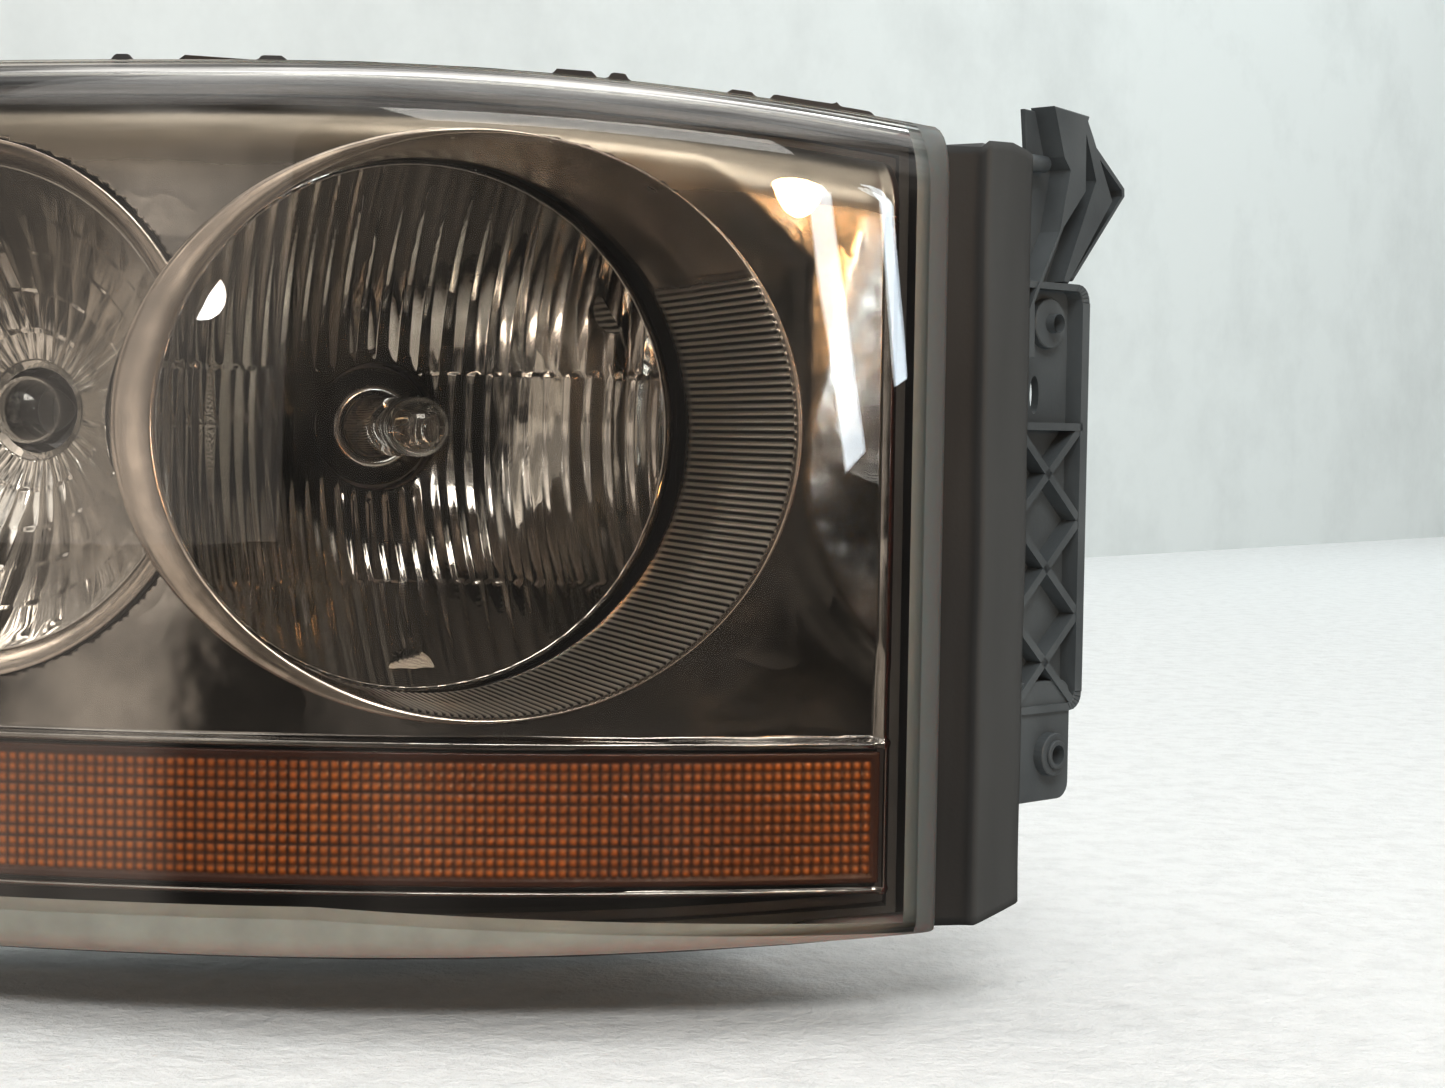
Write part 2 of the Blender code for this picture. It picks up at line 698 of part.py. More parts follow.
def main_reflector():
    """Bowl with a bulb neck and three lugs, on an origin at the pivot axis."""
    radii = np.linspace(BOWL_R, NECK_R, 8)
    inside = [(r, bowl_y(r)) for r in radii]
    outside = [(r + BOWL_WALL * 0.6, y + BOWL_WALL) for r, y in inside[::-1]]
    profile = [(NECK_R + NECK_WALL, NECK_END_Y)]
    profile += [(NECK_R + NECK_WALL, bowl_y(NECK_R + NECK_WALL) + BOWL_WALL)]
    profile += [point for point in outside if point[0] > NECK_R + NECK_WALL + 0.002]
    profile += [(BOWL_R + BOWL_WALL * 0.6, BOWL_RIM_Y)]
    profile += inside
    profile += [(NECK_R, NECK_END_Y)]
    moved = [(r, y - PIVOT_Y) for r, y in profile]
    bowl = turned("main_reflector", moved, at(0.0, PIVOT_Y, 0.0), paint=BRIGHT, steps=36,
                  closed=True)
    lug_end = PIVOT_Y - SOCKET_LENGTH / 2
    for name, x, z in (("lug_in", PIVOT_X, PIVOT_Z), ("lug_out", -PIVOT_X, PIVOT_Z),
                       ("lug_low", 0.0, ADJUST_Z)):
        start = bowl_y(math.hypot(x, z)) + BOWL_WALL * 0.5
        fuse(bowl, rod(name, SOCKET_R - 0.0005, lug_end - start, at(x, start, z),
                       tool=True, sides=16))
    groove = turned("ear_groove", [(NECK_R + EAR_REACH + 0.0004, EAR_Y + EAR_THICK),
                                   (NECK_R + EAR_REACH + 0.0004, EAR_Y - 0.0006),
                                   (NECK_R - 0.003, EAR_Y - 0.0006),
                                   (NECK_R - 0.003, EAR_Y + EAR_THICK)],
                    at(0.0, 0.0, 0.0), tool=True, closed=True, steps=36)
    cut(bowl, groove)
    for i in range(TWIST_EARS):
        angle = 2 * math.pi * i / TWIST_EARS + math.radians(45.0)
        slot = box(f"ear_slot_{i}", (-0.0045, -NECK_LENGTH / 2, 0.0),
                   (0.0045, NECK_LENGTH / 2, NECK_R + EAR_REACH), tool=True)
        slot.data.transform(Matrix.Translation((0.0, 0.0, (NECK_R + EAR_REACH) / 2)))
        slot.location = at(0.0, EAR_Y + NECK_LENGTH / 2, 0.0)
        slot.rotation_euler = (0.0, angle, 0.0)
        cut(bowl, slot)
    return bowl


def ball_socket(name, x, z):
    """Nylon cup on a lug, open to the rear for a ball."""
    radius = BALL_R + BALL_FIT
    half = SOCKET_LENGTH / 2
    mouth = math.radians(48.0)
    angles = np.linspace(math.pi, mouth, 6)
    hollow = [(radius * math.sin(a), radius * math.cos(a)) for a in angles]
    hollow[0] = (0.0, -radius)
    flare = (hollow[-1][0] + 0.0012, half - 0.0005)
    profile = [flare, (SOCKET_R, half - 0.0005), (SOCKET_R, -half + GAP), (0.0, -half + GAP)]
    return turned(name, hollow + profile, at(x, PIVOT_Y, z), paint=NYLON, steps=16)


def ball_stud(name, x, z, end_y, spot_y=PIVOT_Y):
    """Ball on a shank that runs to the rear."""
    neck = math.asin(0.0018 / BALL_R)
    angles = np.linspace(neck, math.pi, 6)
    ball = [(BALL_R * math.sin(a), BALL_R * math.cos(a)) for a in angles]
    ball[-1] = (0.0, -BALL_R)
    length = end_y - PIVOT_Y
    profile = [(0.0, length), (STUD_R, length), (STUD_R, 0.009), (0.0018, 0.0075)]
    return turned(name, profile + ball, at(x, spot_y, z), paint=STEEL, steps=16)


def rubber_boot():
    """Bellows between the bowl's neck and the housing's collar."""
    inner = NECK_R + NECK_WALL + GAP
    outer = BOOT_SEAT_R + 0.0025 + GAP
    seat = BOOT_SEAT_Y
    back = seat + 0.0024
    wall = 0.0012
    profile = [(outer + wall, back), (outer + wall, seat - 0.006), (outer, seat - 0.006),
               (outer, seat + GAP), (BOOT_SEAT_R - 0.006, seat + GAP),
               (BOOT_SEAT_R - 0.0065, seat - 0.004), (inner + wall, seat - 0.006),
               (inner + wall, NECK_END_Y - 0.010), (inner, NECK_END_Y - 0.010),
               (inner, seat - 0.0036), (inner + 0.0014, seat - 0.0036),
               (BOOT_SEAT_R - 0.0065, seat + 0.0012), (BOOT_SEAT_R - 0.004, back)]
    return turned("rubber_boot", profile, at(0.0, 0.0, 0.0), paint=RUBBER, steps=32,
                  closed=True)


def adjuster():
    """Aim adjuster on the rear wall: case, cover, gear and the ball stud it drives."""
    wall_y = rear_y(CASE_HALF) + HOUSING_WALL + GAP + 2 * CASE_HALF * 0.2
    case = box("adjuster_case", (-CASE_HALF, wall_y, ADJUST_Z - CASE_HALF),
               (CASE_HALF, wall_y + CASE_DEEP, ADJUST_Z + CASE_HALF), GREY)
    cut(case, rod("gear_room", GEAR_R + 0.0006, CASE_DEEP,
                  at(0.0, wall_y + 0.003, ADJUST_Z), tool=True, sides=32))
    cut(case, rod("case_bore", STUD_R + 0.0006, CASE_DEEP,
                  at(0.0, wall_y - 0.005, ADJUST_Z), tool=True))
    cover_y = wall_y + CASE_DEEP + GAP
    turned("adjuster_cover", [(0.0, 0.014), (STUD_R + 0.004, 0.014), (STUD_R + 0.004, 0.002),
                              (CASE_HALF - 0.001, 0.002), (CASE_HALF - 0.001, 0.0),
                              (STUD_R + 0.0008, 0.0), (STUD_R + 0.0008, 0.012),
                              (0.0, 0.012)], at(0.0, cover_y, ADJUST_Z), paint=GREY)
    gear = turned("adjuster_gear", [(GEAR_R, GEAR_THICK), (GEAR_R, 0.0),
                                    (STUD_R + GAP, 0.0), (STUD_R + GAP, GEAR_THICK)],
                  at(0.0, wall_y + 0.0035, ADJUST_Z), paint=NYLON, closed=True)
    for i in range(GEAR_TEETH):
        angle = 2 * math.pi * i / GEAR_TEETH
        notch = box(f"tooth_gap_{i}", (-0.0006, -0.001, GEAR_R - 0.003),
                    (0.0006, 0.001, GEAR_R + 0.001), tool=True)
        notch.data.transform(Matrix.Translation((0.0, 0.0, GEAR_R - 0.001)))
        notch.location = at(0.0, wall_y + 0.0035 + GEAR_THICK, ADJUST_Z)
        notch.rotation_euler = (0.0, angle, 0.0)
        cut(gear, notch)
    ball_stud("adjuster_stud", 0.0, ADJUST_Z, cover_y + 0.004)


# ---------------------------------------------------------------- bulbs and sockets

def main_bulb():
    """Twin-filament bulb: plug with three ears and a connector, glass, seal, blades."""
    front = EAR_Y - 0.0015
    flange = NECK_END_Y + GAP
    plug = turned("main_bulb_base",
                  [(0.0, flange + 0.004), (NECK_R + 0.004, flange + 0.004),
                   (NECK_R + 0.004, flange), (PLUG_R, flange), (PLUG_R, SEAL_Y + 0.003),
                   (PLUG_R - 0.0016, SEAL_Y + 0.003), (PLUG_R - 0.0016, SEAL_Y),
                   (PLUG_R, SEAL_Y), (PLUG_R, front),
                   (BULB_R + GAP, front), (BULB_R + GAP, front + 0.006),
                   (0.0, front + 0.006)], at(0.0, 0.0, 0.0), paint=BLACK)
    for i in range(TWIST_EARS):
        angle = 2 * math.pi * i / TWIST_EARS
        ear = box(f"ear_{i}", (-0.004, -0.0013, 0.0), (0.004, 0.0013, 0.005), tool=True)
        ear.data.transform(Matrix.Translation((0.0, 0.0, PLUG_R + EAR_REACH - 0.0025)))
        ear.location = at(0.0, EAR_Y + 0.0016, 0.0)
        ear.rotation_euler = (0.0, angle, 0.0)
        fuse(plug, ear)
    shroud = box("connector", (-0.013, flange + 0.003, -0.009),
                 (0.013, flange + CONNECTOR_LONG, 0.009), tool=True)
    fuse(plug, shroud)
    cut(plug, box("connector_room", (-0.011, flange + 0.010, -0.007),
                  (0.011, flange + CONNECTOR_LONG + 0.01, 0.007), tool=True))
    for i, x in enumerate((-0.007, 0.0, 0.007)):
        cut(plug, box(f"blade_slot_{i}", (x - 0.0005, flange + 0.005, -0.0033),
                      (x + 0.0005, flange + 0.012, 0.0033), tool=True))
        box(f"bulb_terminal_{i + 1}", (x - 0.0004, flange + 0.0055, -0.003),
            (x + 0.0004, flange + CONNECTOR_LONG - 0.006, 0.003), BRASS)

    tip = BOWL_RIM_Y - BULB_TIP_AHEAD
    base = front + 0.006 - GAP
    wall = 0.001
    turned("main_bulb_glass", glass_tube(BULB_R, wall, tip, base), at(0.0, 0.0, 0.0),
           paint=GLASS, steps=16)
    turned("bulb_seal_ring", [(NECK_R - 0.0001, SEAL_Y + 0.0027),
                              (NECK_R - 0.0001, SEAL_Y + GAP),
                              (PLUG_R - 0.0013, SEAL_Y + GAP),
                              (PLUG_R - 0.0013, SEAL_Y + 0.0027)],
           at(0.0, 0.0, 0.0), paint=RUBBER, closed=True)
    wire("bulb_filaments", [(0.0035, base - 0.001, 0.0), (0.0035, -0.006, 0.0),
                            (0.0035, -0.020, 0.002), (0.0030, -0.022, 0.003),
                            (-0.0030, -0.022, 0.003), (-0.0035, -0.020, 0.002),
                            (-0.0035, -0.006, 0.0), (-0.0035, base - 0.001, 0.0)],
         0.0005, STEEL)


def glass_tube(radius, wall, tip, base):
    """Profile of a tube open at the base, with a domed tip towards -Y."""
    outer = [(radius, base), (radius, tip + radius)]
    angles = np.linspace(0.0, math.pi / 2, 4)
    outer += [(radius * math.cos(a), tip + radius - radius * math.sin(a))
              for a in angles[1:]]
    outer[-1] = (0.0, tip)
    bore = radius - wall
    inner = [(bore * math.cos(a), tip + radius - bore * math.sin(a)) for a in angles]
    inner[-1] = (0.0, tip + wall)
    return inner[::-1] + [(bore, base)] + outer


def wire(name, points, radius, paint):
    """A round wire through points given from the beam axis."""
    data = bpy.data.curves.new(name, "CURVE")
    data.dimensions = "3D"
    data.bevel_depth = radius
    data.bevel_resolution = 2
    data.use_fill_caps = True
    spline = data.splines.new("POLY")
    spline.points.add(len(points) - 1)
    for item, point in zip(spline.points, points):
        item.co = (*point, 1.0)
    obj = bpy.data.objects.new(name, data)
    PARTS.objects.link(obj)
    obj.location = at(0.0, 0.0, 0.0)
    return place(obj, paint)


def small_lamp(prefix, spot_of, turn, hole_r, wall_back, glass_r, glass_long):
    """A twist-in socket with its gasket and bulb, on an axis that runs to the rear."""
    seat = glass_r + 0.0008
    body = hole_r - 0.0008
    grip = hole_r + 0.0035
    front = -SOCKET_REACH
    turned(f"{prefix}_socket",
           [(0.0, 0.016), (grip - 0.004, 0.016), (grip - 0.004, 0.007), (grip, 0.007),
            (grip, 0.003), (body, 0.003), (body, front), (seat, front),
            (seat, front + 0.012), (0.0, front + 0.012)],
           spot_of(wall_back), turn, GREY)
    turned(f"{prefix}_gasket", [(grip, 0.0027), (grip, GAP), (body + GAP, GAP),
                                (body + GAP, 0.0027)],
           spot_of(wall_back), turn, RUBBER, closed=True)
    turned(f"{prefix}_bulb", glass_tube(glass_r, 0.0008, front + 0.011 - glass_long,
                                        front + 0.011),
           spot_of(wall_back), turn, GLASS, steps=16)


def turn_lamp():
    """Lamp of the outboard bowl; its axis leans with the bowl's."""
    pad = rod("turn_pad", TURN_HOLE_R + 0.006, 0.024, turn_spot(TURN_WALL_BACK - 0.024),
              TURN_TURN, tool=True)
    fuse(bpy.data.objects["housing"], pad)
    cut(bpy.data.objects["housing"],
        rod("turn_pad_hole", TURN_HOLE_R, 0.04, turn_spot(TURN_WALL_BACK - 0.032),
            TURN_TURN, tool=True))
    small_lamp("turn", turn_spot, TURN_TURN, TURN_HOLE_R, TURN_WALL_BACK, 0.0095, 0.045)


def marker_lamp():
    """Lamp of the amber strip."""
    def spot(back):
        return at(MARKER_X, back, MARKER_Z)

    wall = MARKER_WALL_Y
    pad = rod("marker_pad", MARKER_HOLE_R + 0.005, 0.010, spot(wall - 0.010), tool=True)
    fuse(bpy.data.objects["housing"], pad)
    cut(bpy.data.objects["housing"],
        rod("marker_pad_hole", MARKER_HOLE_R, 0.03, spot(wall - 0.02), tool=True))
    small_lamp("marker", spot, REARWARD, MARKER_HOLE_R, wall, 0.0050, 0.040)


# ---------------------------------------------------------------- seal, bracket, fixings

def side_seal():
    """Rubber edge seal down the inboard side, with a raised strip along it."""
    x0, x1 = SEAL_X
    ridge = (x0 + x1) / 2
    outline = [(x0, SEAL_BACK_Y - 0.005), (x0, SEAL_FRONT_Y + 0.003),
               (ridge, SEAL_FRONT_Y + 0.002), (ridge + 0.001, SEAL_FRONT_Y),
               (x1 - 0.004, SEAL_FRONT_Y), (x1, SEAL_FRONT_Y + 0.004),
               (x1, SEAL_BACK_Y - 0.013), (x1 - 0.003, SEAL_BACK_Y - 0.013),
               (x1 - 0.003, SEAL_FRONT_Y + 0.006), (ridge, SEAL_FRONT_Y + 0.006),
               (x0 + 0.006, SEAL_FRONT_Y + 0.010), (x0 + 0.006, SEAL_BACK_Y - 0.005)]
    seal = prism("side_seal", outline, SEAL_TOP - SEAL_BOTTOM,
                 at(0.0, 0.0, SEAL_BOTTOM), paint=RUBBER)
    return seal


def bracket():
    """Inboard bracket: ribbed plate with crossed ribs, bosses, a slot and a locating arm."""
    spot = at(*BRACKET_SPOT, 0.0)
    turn = Matrix.Translation(spot) @ Matrix.Rotation(BRACKET_TURN, 4, "Z")

    def block(name, low, high, paint=None, tool=True):
        obj = box(name, low, high, paint, tool)
        middle = (Vector(low) + Vector(high)) / 2
        obj.matrix_world = turn @ Matrix.Translation(middle)
        return obj

    def bore(name, radius, x, z, length=0.04):
        obj = rod(name, radius, length, (0.0, 0.0, 0.0), tool=True, sides=20)
        obj.matrix_world = (turn @ Matrix.Translation((x, -length / 2, z))
                            @ Matrix.Rotation(-math.pi / 2, 4, "X"))
        return obj

    near = BRACKET_NEAR
    body = block("inboard_bracket", (near, 0.0, BRACKET_BOTTOM),
                 (BRACKET_WIDE, BRACKET_DEEP, BRACKET_TOP), BLACK, tool=False)
    fuse(body, block("bracket_tab", (near + 0.002, 0.0, -0.106), (0.036, 0.004, -0.070)))
    fuse(body, block("bracket_web", (near, 0.002, BRACKET_BOTTOM + 0.001),
                     (near + 0.004, 0.017, BRACKET_TOP - 0.001)))
    fuse(body, box("bracket_foot", (BOSS_FACE_X + GAP, FOOT_Y - 0.005, -0.095),
                   (0.1500, FOOT_Y, BRACKET_TOP - 0.002), tool=True))

    pockets = bmesh.new()
    cell = -BRACKET_BOTTOM / BRACKET_CELLS
    left = near + 0.004
    right = BRACKET_WIDE - BRACKET_RIB
    half = BRACKET_RIB / 2
    for i in range(BRACKET_CELLS):
        low = BRACKET_BOTTOM + BRACKET_RIB / 2 + i * cell
        high = low + cell
        mid_x, mid_z = (left + right) / 2, (low + high) / 2
        run = 2.4 * half
        for corners in (((left + run, low + half), (right - run, low + half),
                         (mid_x, mid_z - run * 0.7)),
                        ((left + run, high - half), (right - run, high - half),
                         (mid_x, mid_z + run * 0.7)),
                        ((left, low + run), (left, high - run), (mid_x - run, mid_z)),
                        ((right, low + run), (right, high - run), (mid_x + run, mid_z))):
            ends = [[pockets.verts.new((x, y, z)) for x, z in corners]
                    for y in (-0.002, BRACKET_DEEP - BRACKET_SHEET)]
            pockets.faces.new(ends[0])
            pockets.faces.new(ends[1])
            for j in range(3):
                k = (j + 1) % 3
                pockets.faces.new((ends[0][j], ends[0][k], ends[1][k], ends[1][j]))
    lattice = from_bmesh("lattice_pockets", pockets, tool=True, smooth=False)
    lattice.matrix_world = turn
    cut(body, lattice)
    cut(body, block("upper_pocket", (left, -0.002, 0.004),
                    (right, BRACKET_DEEP - BRACKET_SHEET, BRACKET_TOP - BRACKET_RIB)))
    post = rod("upper_boss", 0.006, BRACKET_DEEP, (0.0, 0.0, 0.0), tool=True, sides=20)
    post.matrix_world = (turn @ Matrix.Translation((UPPER_BOSS[0], 0.0, UPPER_BOSS[1]))
                         @ Matrix.Rotation(-math.pi / 2, 4, "X"))
    fuse(body, post)
    cut(body, bore("upper_hole", 0.0028, *UPPER_BOSS))
    low_post = rod("lower_boss", 0.0065, 0.007, (0.0, 0.0, 0.0), tool=True, sides=20)
    low_post.matrix_world = (turn @ Matrix.Translation((LOWER_BOSS[0], -0.003, LOWER_BOSS[1]))
                             @ Matrix.Rotation(-math.pi / 2, 4, "X"))
    fuse(body, low_post)
    cut(body, bore("lower_hole", 0.0030, *LOWER_BOSS))
    cut(body, block("slot", (UPPER_BOSS[0] - 0.002, -0.01, 0.006),
                    (UPPER_BOSS[0] + 0.002, 0.02, 0.014)))

    fuse(body, arm(turn))
    peg = rod("peg", 0.0022, 0.010, (0.0, 0.0, 0.0), tool=True, sides=16)
    peg.matrix_world = (turn @ Matrix.Translation(PEG)
                        @ Matrix.Rotation(-math.pi / 2, 4, "Y"))
    fuse(body, peg)
    for i, z in enumerate(BRACKET_SCREW_Z):
        tab = box(f"screw_tab_{i}", (BOSS_FACE_X + GAP, FOOT_Y - 0.003, z - 0.008),
                  (BOSS_FACE_X + GAP + 0.003, SCREW_Y + 0.008, z + 0.008), tool=True)
        fuse(body, tab)
        cut(body, rod(f"tab_bore_{i}", 0.0026, 0.010, at(BOSS_FACE_X - 0.003, SCREW_Y, z),
                      (0.0, math.pi / 2, 0.0), tool=True))
        screw(f"bracket_screw_{i + 1}", BOSS_FACE_X + 2 * GAP + 0.003, SCREW_Y, z)
    return body


def arm(turn):
    """Folded arm that rises from the bracket's plate to the locating peg."""
    obj = prism("arm", list(ARM_OUTLINE), ARM_THICK, (0.0, 0.0, 0.0), tool=True)
    obj.matrix_world = (turn @ Matrix.Translation((0.0, ARM_THICK, 0.0))
                        @ Matrix.Rotation(math.pi / 2, 4, "X"))
    return obj


def screw(name, x, y, z):
    """Pan-head screw that points outboard into a boss."""
    profile = [(0.0, 0.0026), (0.0022, 0.0026), (0.0042, 0.0012), (0.0042, 0.0),
               (0.0019, 0.0), (0.0019, -0.0105), (0.0, -0.0115)]
    return turned(name, profile, at(x, y, z), (0.0, math.pi / 2, 0.0), STEEL, steps=16)


def vent_caps():
    """Rubber breather caps over the two spouts."""
    for i, (x, z) in enumerate(VENTS):
        base = rear_y(x) + 0.009
        turned(f"vent_cap_{i + 1}",
               [(0.0, 0.007), (0.0055, 0.007), (0.0075, 0.004), (0.0075, -0.004),
                (0.0045 + GAP, -0.004), (0.0045 + GAP, GAP), (0.0, GAP)],
               at(x, base, z), paint=RUBBER, steps=20)


outer_lens()
lens_sealant()
housing()
bezel()
trim_ring()
amber_insert()
amber_tray()
outboard_reflector()
main_reflector()
for end, place_x, place_z in (("inner", PIVOT_X, PIVOT_Z), ("outer", -PIVOT_X, PIVOT_Z),
                              ("adjuster", 0.0, ADJUST_Z)):
    ball_socket(f"{end}_ball_socket", place_x, place_z)
for end, place_x in (("inner", PIVOT_X), ("outer", -PIVOT_X)):
    ball_stud(f"{end}_pivot_stud", place_x, PIVOT_Z, rear_y(place_x) - 0.002)
rubber_boot()
adjuster()
main_bulb()
turn_lamp()
marker_lamp()
side_seal()
bracket()
vent_caps()
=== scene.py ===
import json
import math
import bpy
import bmesh
import numpy as np
from mathutils import Matrix, Vector


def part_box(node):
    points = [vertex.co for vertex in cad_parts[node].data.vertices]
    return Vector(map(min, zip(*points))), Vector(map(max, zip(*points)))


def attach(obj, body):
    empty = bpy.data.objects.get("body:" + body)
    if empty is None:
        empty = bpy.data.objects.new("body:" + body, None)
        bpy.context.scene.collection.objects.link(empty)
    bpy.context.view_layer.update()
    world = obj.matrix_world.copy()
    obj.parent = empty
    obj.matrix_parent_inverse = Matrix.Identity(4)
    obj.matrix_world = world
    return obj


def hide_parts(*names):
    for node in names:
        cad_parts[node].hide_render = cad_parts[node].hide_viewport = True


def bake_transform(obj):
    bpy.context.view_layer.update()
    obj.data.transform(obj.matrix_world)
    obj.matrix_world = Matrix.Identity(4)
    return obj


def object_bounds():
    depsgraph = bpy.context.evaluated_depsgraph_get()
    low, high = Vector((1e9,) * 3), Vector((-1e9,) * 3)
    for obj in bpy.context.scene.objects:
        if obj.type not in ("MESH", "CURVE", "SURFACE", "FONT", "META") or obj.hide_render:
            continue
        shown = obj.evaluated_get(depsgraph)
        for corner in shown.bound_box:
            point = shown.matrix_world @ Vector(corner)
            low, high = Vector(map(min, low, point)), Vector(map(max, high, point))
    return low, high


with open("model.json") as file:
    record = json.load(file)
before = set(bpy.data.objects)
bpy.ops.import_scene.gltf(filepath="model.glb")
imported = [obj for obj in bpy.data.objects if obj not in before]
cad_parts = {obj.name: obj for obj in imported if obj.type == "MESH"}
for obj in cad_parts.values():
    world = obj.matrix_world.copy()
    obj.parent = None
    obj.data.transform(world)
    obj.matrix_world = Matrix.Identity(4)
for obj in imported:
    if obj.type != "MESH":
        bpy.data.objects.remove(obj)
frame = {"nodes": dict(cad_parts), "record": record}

cad_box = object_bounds()

# ---------------------------------------------------------------- camera, light and floor
# The lamp stands on a pale textured bench before a plain wall, seen from its outboard side
# a little above level. Broad soft lamps light it; narrow ones in front streak the chrome.
BEAM_Z = -0.100
AIM = Vector((0.0554, -0.1400, BEAM_Z - 0.0288))
EYE_TURN = math.radians(-21.96)
EYE_RISE = math.radians(2.43)
EYE_ROLL = math.radians(0.917)
EYE_FAR = 0.658

back = Vector((math.sin(EYE_TURN) * math.cos(EYE_RISE),
               -math.cos(EYE_TURN) * math.cos(EYE_RISE), math.sin(EYE_RISE)))
level = Vector((math.cos(EYE_TURN), math.sin(EYE_TURN), 0.0))
upright = back.cross(level)
right = level * math.cos(EYE_ROLL) + upright * math.sin(EYE_ROLL)
above = back.cross(right)
camera = bpy.data.objects.new("camera", bpy.data.cameras.new("camera"))
camera.data.lens = 64.0
camera.data.clip_start = 0.01
camera.matrix_world = Matrix.Translation(AIM + back * EYE_FAR) @ Matrix(
    (right, above, back)).transposed().to_4x4()
bpy.context.scene.collection.objects.link(camera)
bpy.context.scene.camera = camera


def lamp(name, size, power, colour, place, towards):
    """A rectangular lamp that faces a point."""
    data = bpy.data.lights.new(name, "AREA")
    data.shape = "RECTANGLE"
    data.size, data.size_y = size
    data.energy = power
    data.color = colour
    obj = bpy.data.objects.new(name, data)
    obj.location = place
    obj.rotation_euler = (Vector(towards) - Vector(place)).to_track_quat("-Z", "Y").to_euler()
    bpy.context.scene.collection.objects.link(obj)
    return obj


lamp("ceiling_light", (2.4, 1.8), 15.0, (1.0, 0.99, 0.97), (0.1, -0.1, 1.7), (0.0, 0.0, -0.1))
lamp("wall_light", (3.0, 1.0), 24.0, (0.94, 1.0, 1.0), (2.5, 1.6, 1.7), (2.2, 2.7, 0.1))
fill = lamp("front_fill", (1.6, 1.0), 46.0, (1.0, 0.99, 0.97), (-0.3, -2.2, 2.0),
            (0.0, 0.0, -0.2))
fill.visible_glossy = False
for tilt, wide, power, x, z in ((0.40, 0.045, 0.36, 0.225, 0.00), (0.28, 0.026, 0.30, 0.335, 0.07)):
    strip = lamp("window_strip", (wide, 0.26), power, (0.80, 0.91, 1.0), (x, -1.50, z),
                 (0.09, -0.13, -0.07))
    strip.rotation_euler.rotate_axis("Z", tilt)
warm = lamp("warm_bulb", (0.110, 0.070), 2.60, (1.0, 0.58, 0.26), (0.140, -1.45, 0.10),
            (0.08, -0.13, -0.04))
warm.data.shape = "ELLIPSE"
lamp("left_window", (1.2, 1.4), 2.4, (1.0, 0.93, 0.86), (-1.5, -1.2, 0.45), (0.0, -0.1, -0.1))


def surround():
    """Room seen in the chrome: dark ahead, paler above, below and on the outboard side."""
    world = bpy.data.worlds.new("room")
    bpy.context.scene.world = world
    world.use_nodes = True
    tree = world.node_tree
    sky = tree.nodes["Background"]
    where = tree.nodes.new("ShaderNodeTexCoord")
    split = tree.nodes.new("ShaderNodeSeparateXYZ")
    tree.links.new(where.outputs["Generated"], split.inputs[0])
    shift = tree.nodes.new("ShaderNodeMath")
    shift.operation = "MULTIPLY_ADD"
    shift.inputs[1].default_value = 0.5
    shift.inputs[2].default_value = 0.5
    tree.links.new(split.outputs[2], shift.inputs[0])
    ramp = tree.nodes.new("ShaderNodeValToRGB")
    ramp.color_ramp.elements[0].position = 0.12
    ramp.color_ramp.elements[0].color = (0.24, 0.22, 0.195, 1.0)
    ramp.color_ramp.elements[1].position = 0.95
    ramp.color_ramp.elements[1].color = (0.75, 0.75, 0.74, 1.0)
    for place, colour in ((0.36, (0.10, 0.091, 0.080, 1.0)), (0.45, (0.055, 0.050, 0.045, 1.0)),
                          (0.56, (0.10, 0.092, 0.082, 1.0)), (0.68, (0.34, 0.32, 0.29, 1.0))):
        ramp.color_ramp.elements.new(place).color = colour
    tree.links.new(shift.outputs[0], ramp.inputs[0])
    side = tree.nodes.new("ShaderNodeMapRange")
    side.inputs["From Min"].default_value = -0.35
    side.inputs["From Max"].default_value = -0.85
    side.inputs["To Min"].default_value = 0.0
    side.inputs["To Max"].default_value = 0.42
    tree.links.new(split.outputs[0], side.inputs["Value"])
    warm = tree.nodes.new("ShaderNodeMix")
    warm.data_type = "RGBA"
    warm.blend_type = "ADD"
    warm.inputs["B"].default_value = (1.0, 0.90, 0.80, 1.0)
    tree.links.new(side.outputs["Result"], warm.inputs["Factor"])
    tree.links.new(ramp.outputs["Color"], warm.inputs["A"])
    patches = tree.nodes.new("ShaderNodeTexNoise")
    patches.inputs["Scale"].default_value = 3.4
    patches.inputs["Detail"].default_value = 5.0
    tree.links.new(where.outputs["Generated"], patches.inputs["Vector"])
    contrast = tree.nodes.new("ShaderNodeMapRange")
    contrast.inputs["From Min"].default_value = 0.43
    contrast.inputs["From Max"].default_value = 0.60
    contrast.inputs["To Min"].default_value = 0.16
    contrast.inputs["To Max"].default_value = 2.10
    tree.links.new(patches.outputs["Fac"], contrast.inputs["Value"])
    tree.links.new(warm.outputs["Result"], sky.inputs["Color"])
    tree.links.new(contrast.outputs["Result"], sky.inputs["Strength"])


surround()
bpy.context.scene.view_settings.view_transform = "Standard"
bpy.context.scene.view_settings.gamma = 0.85


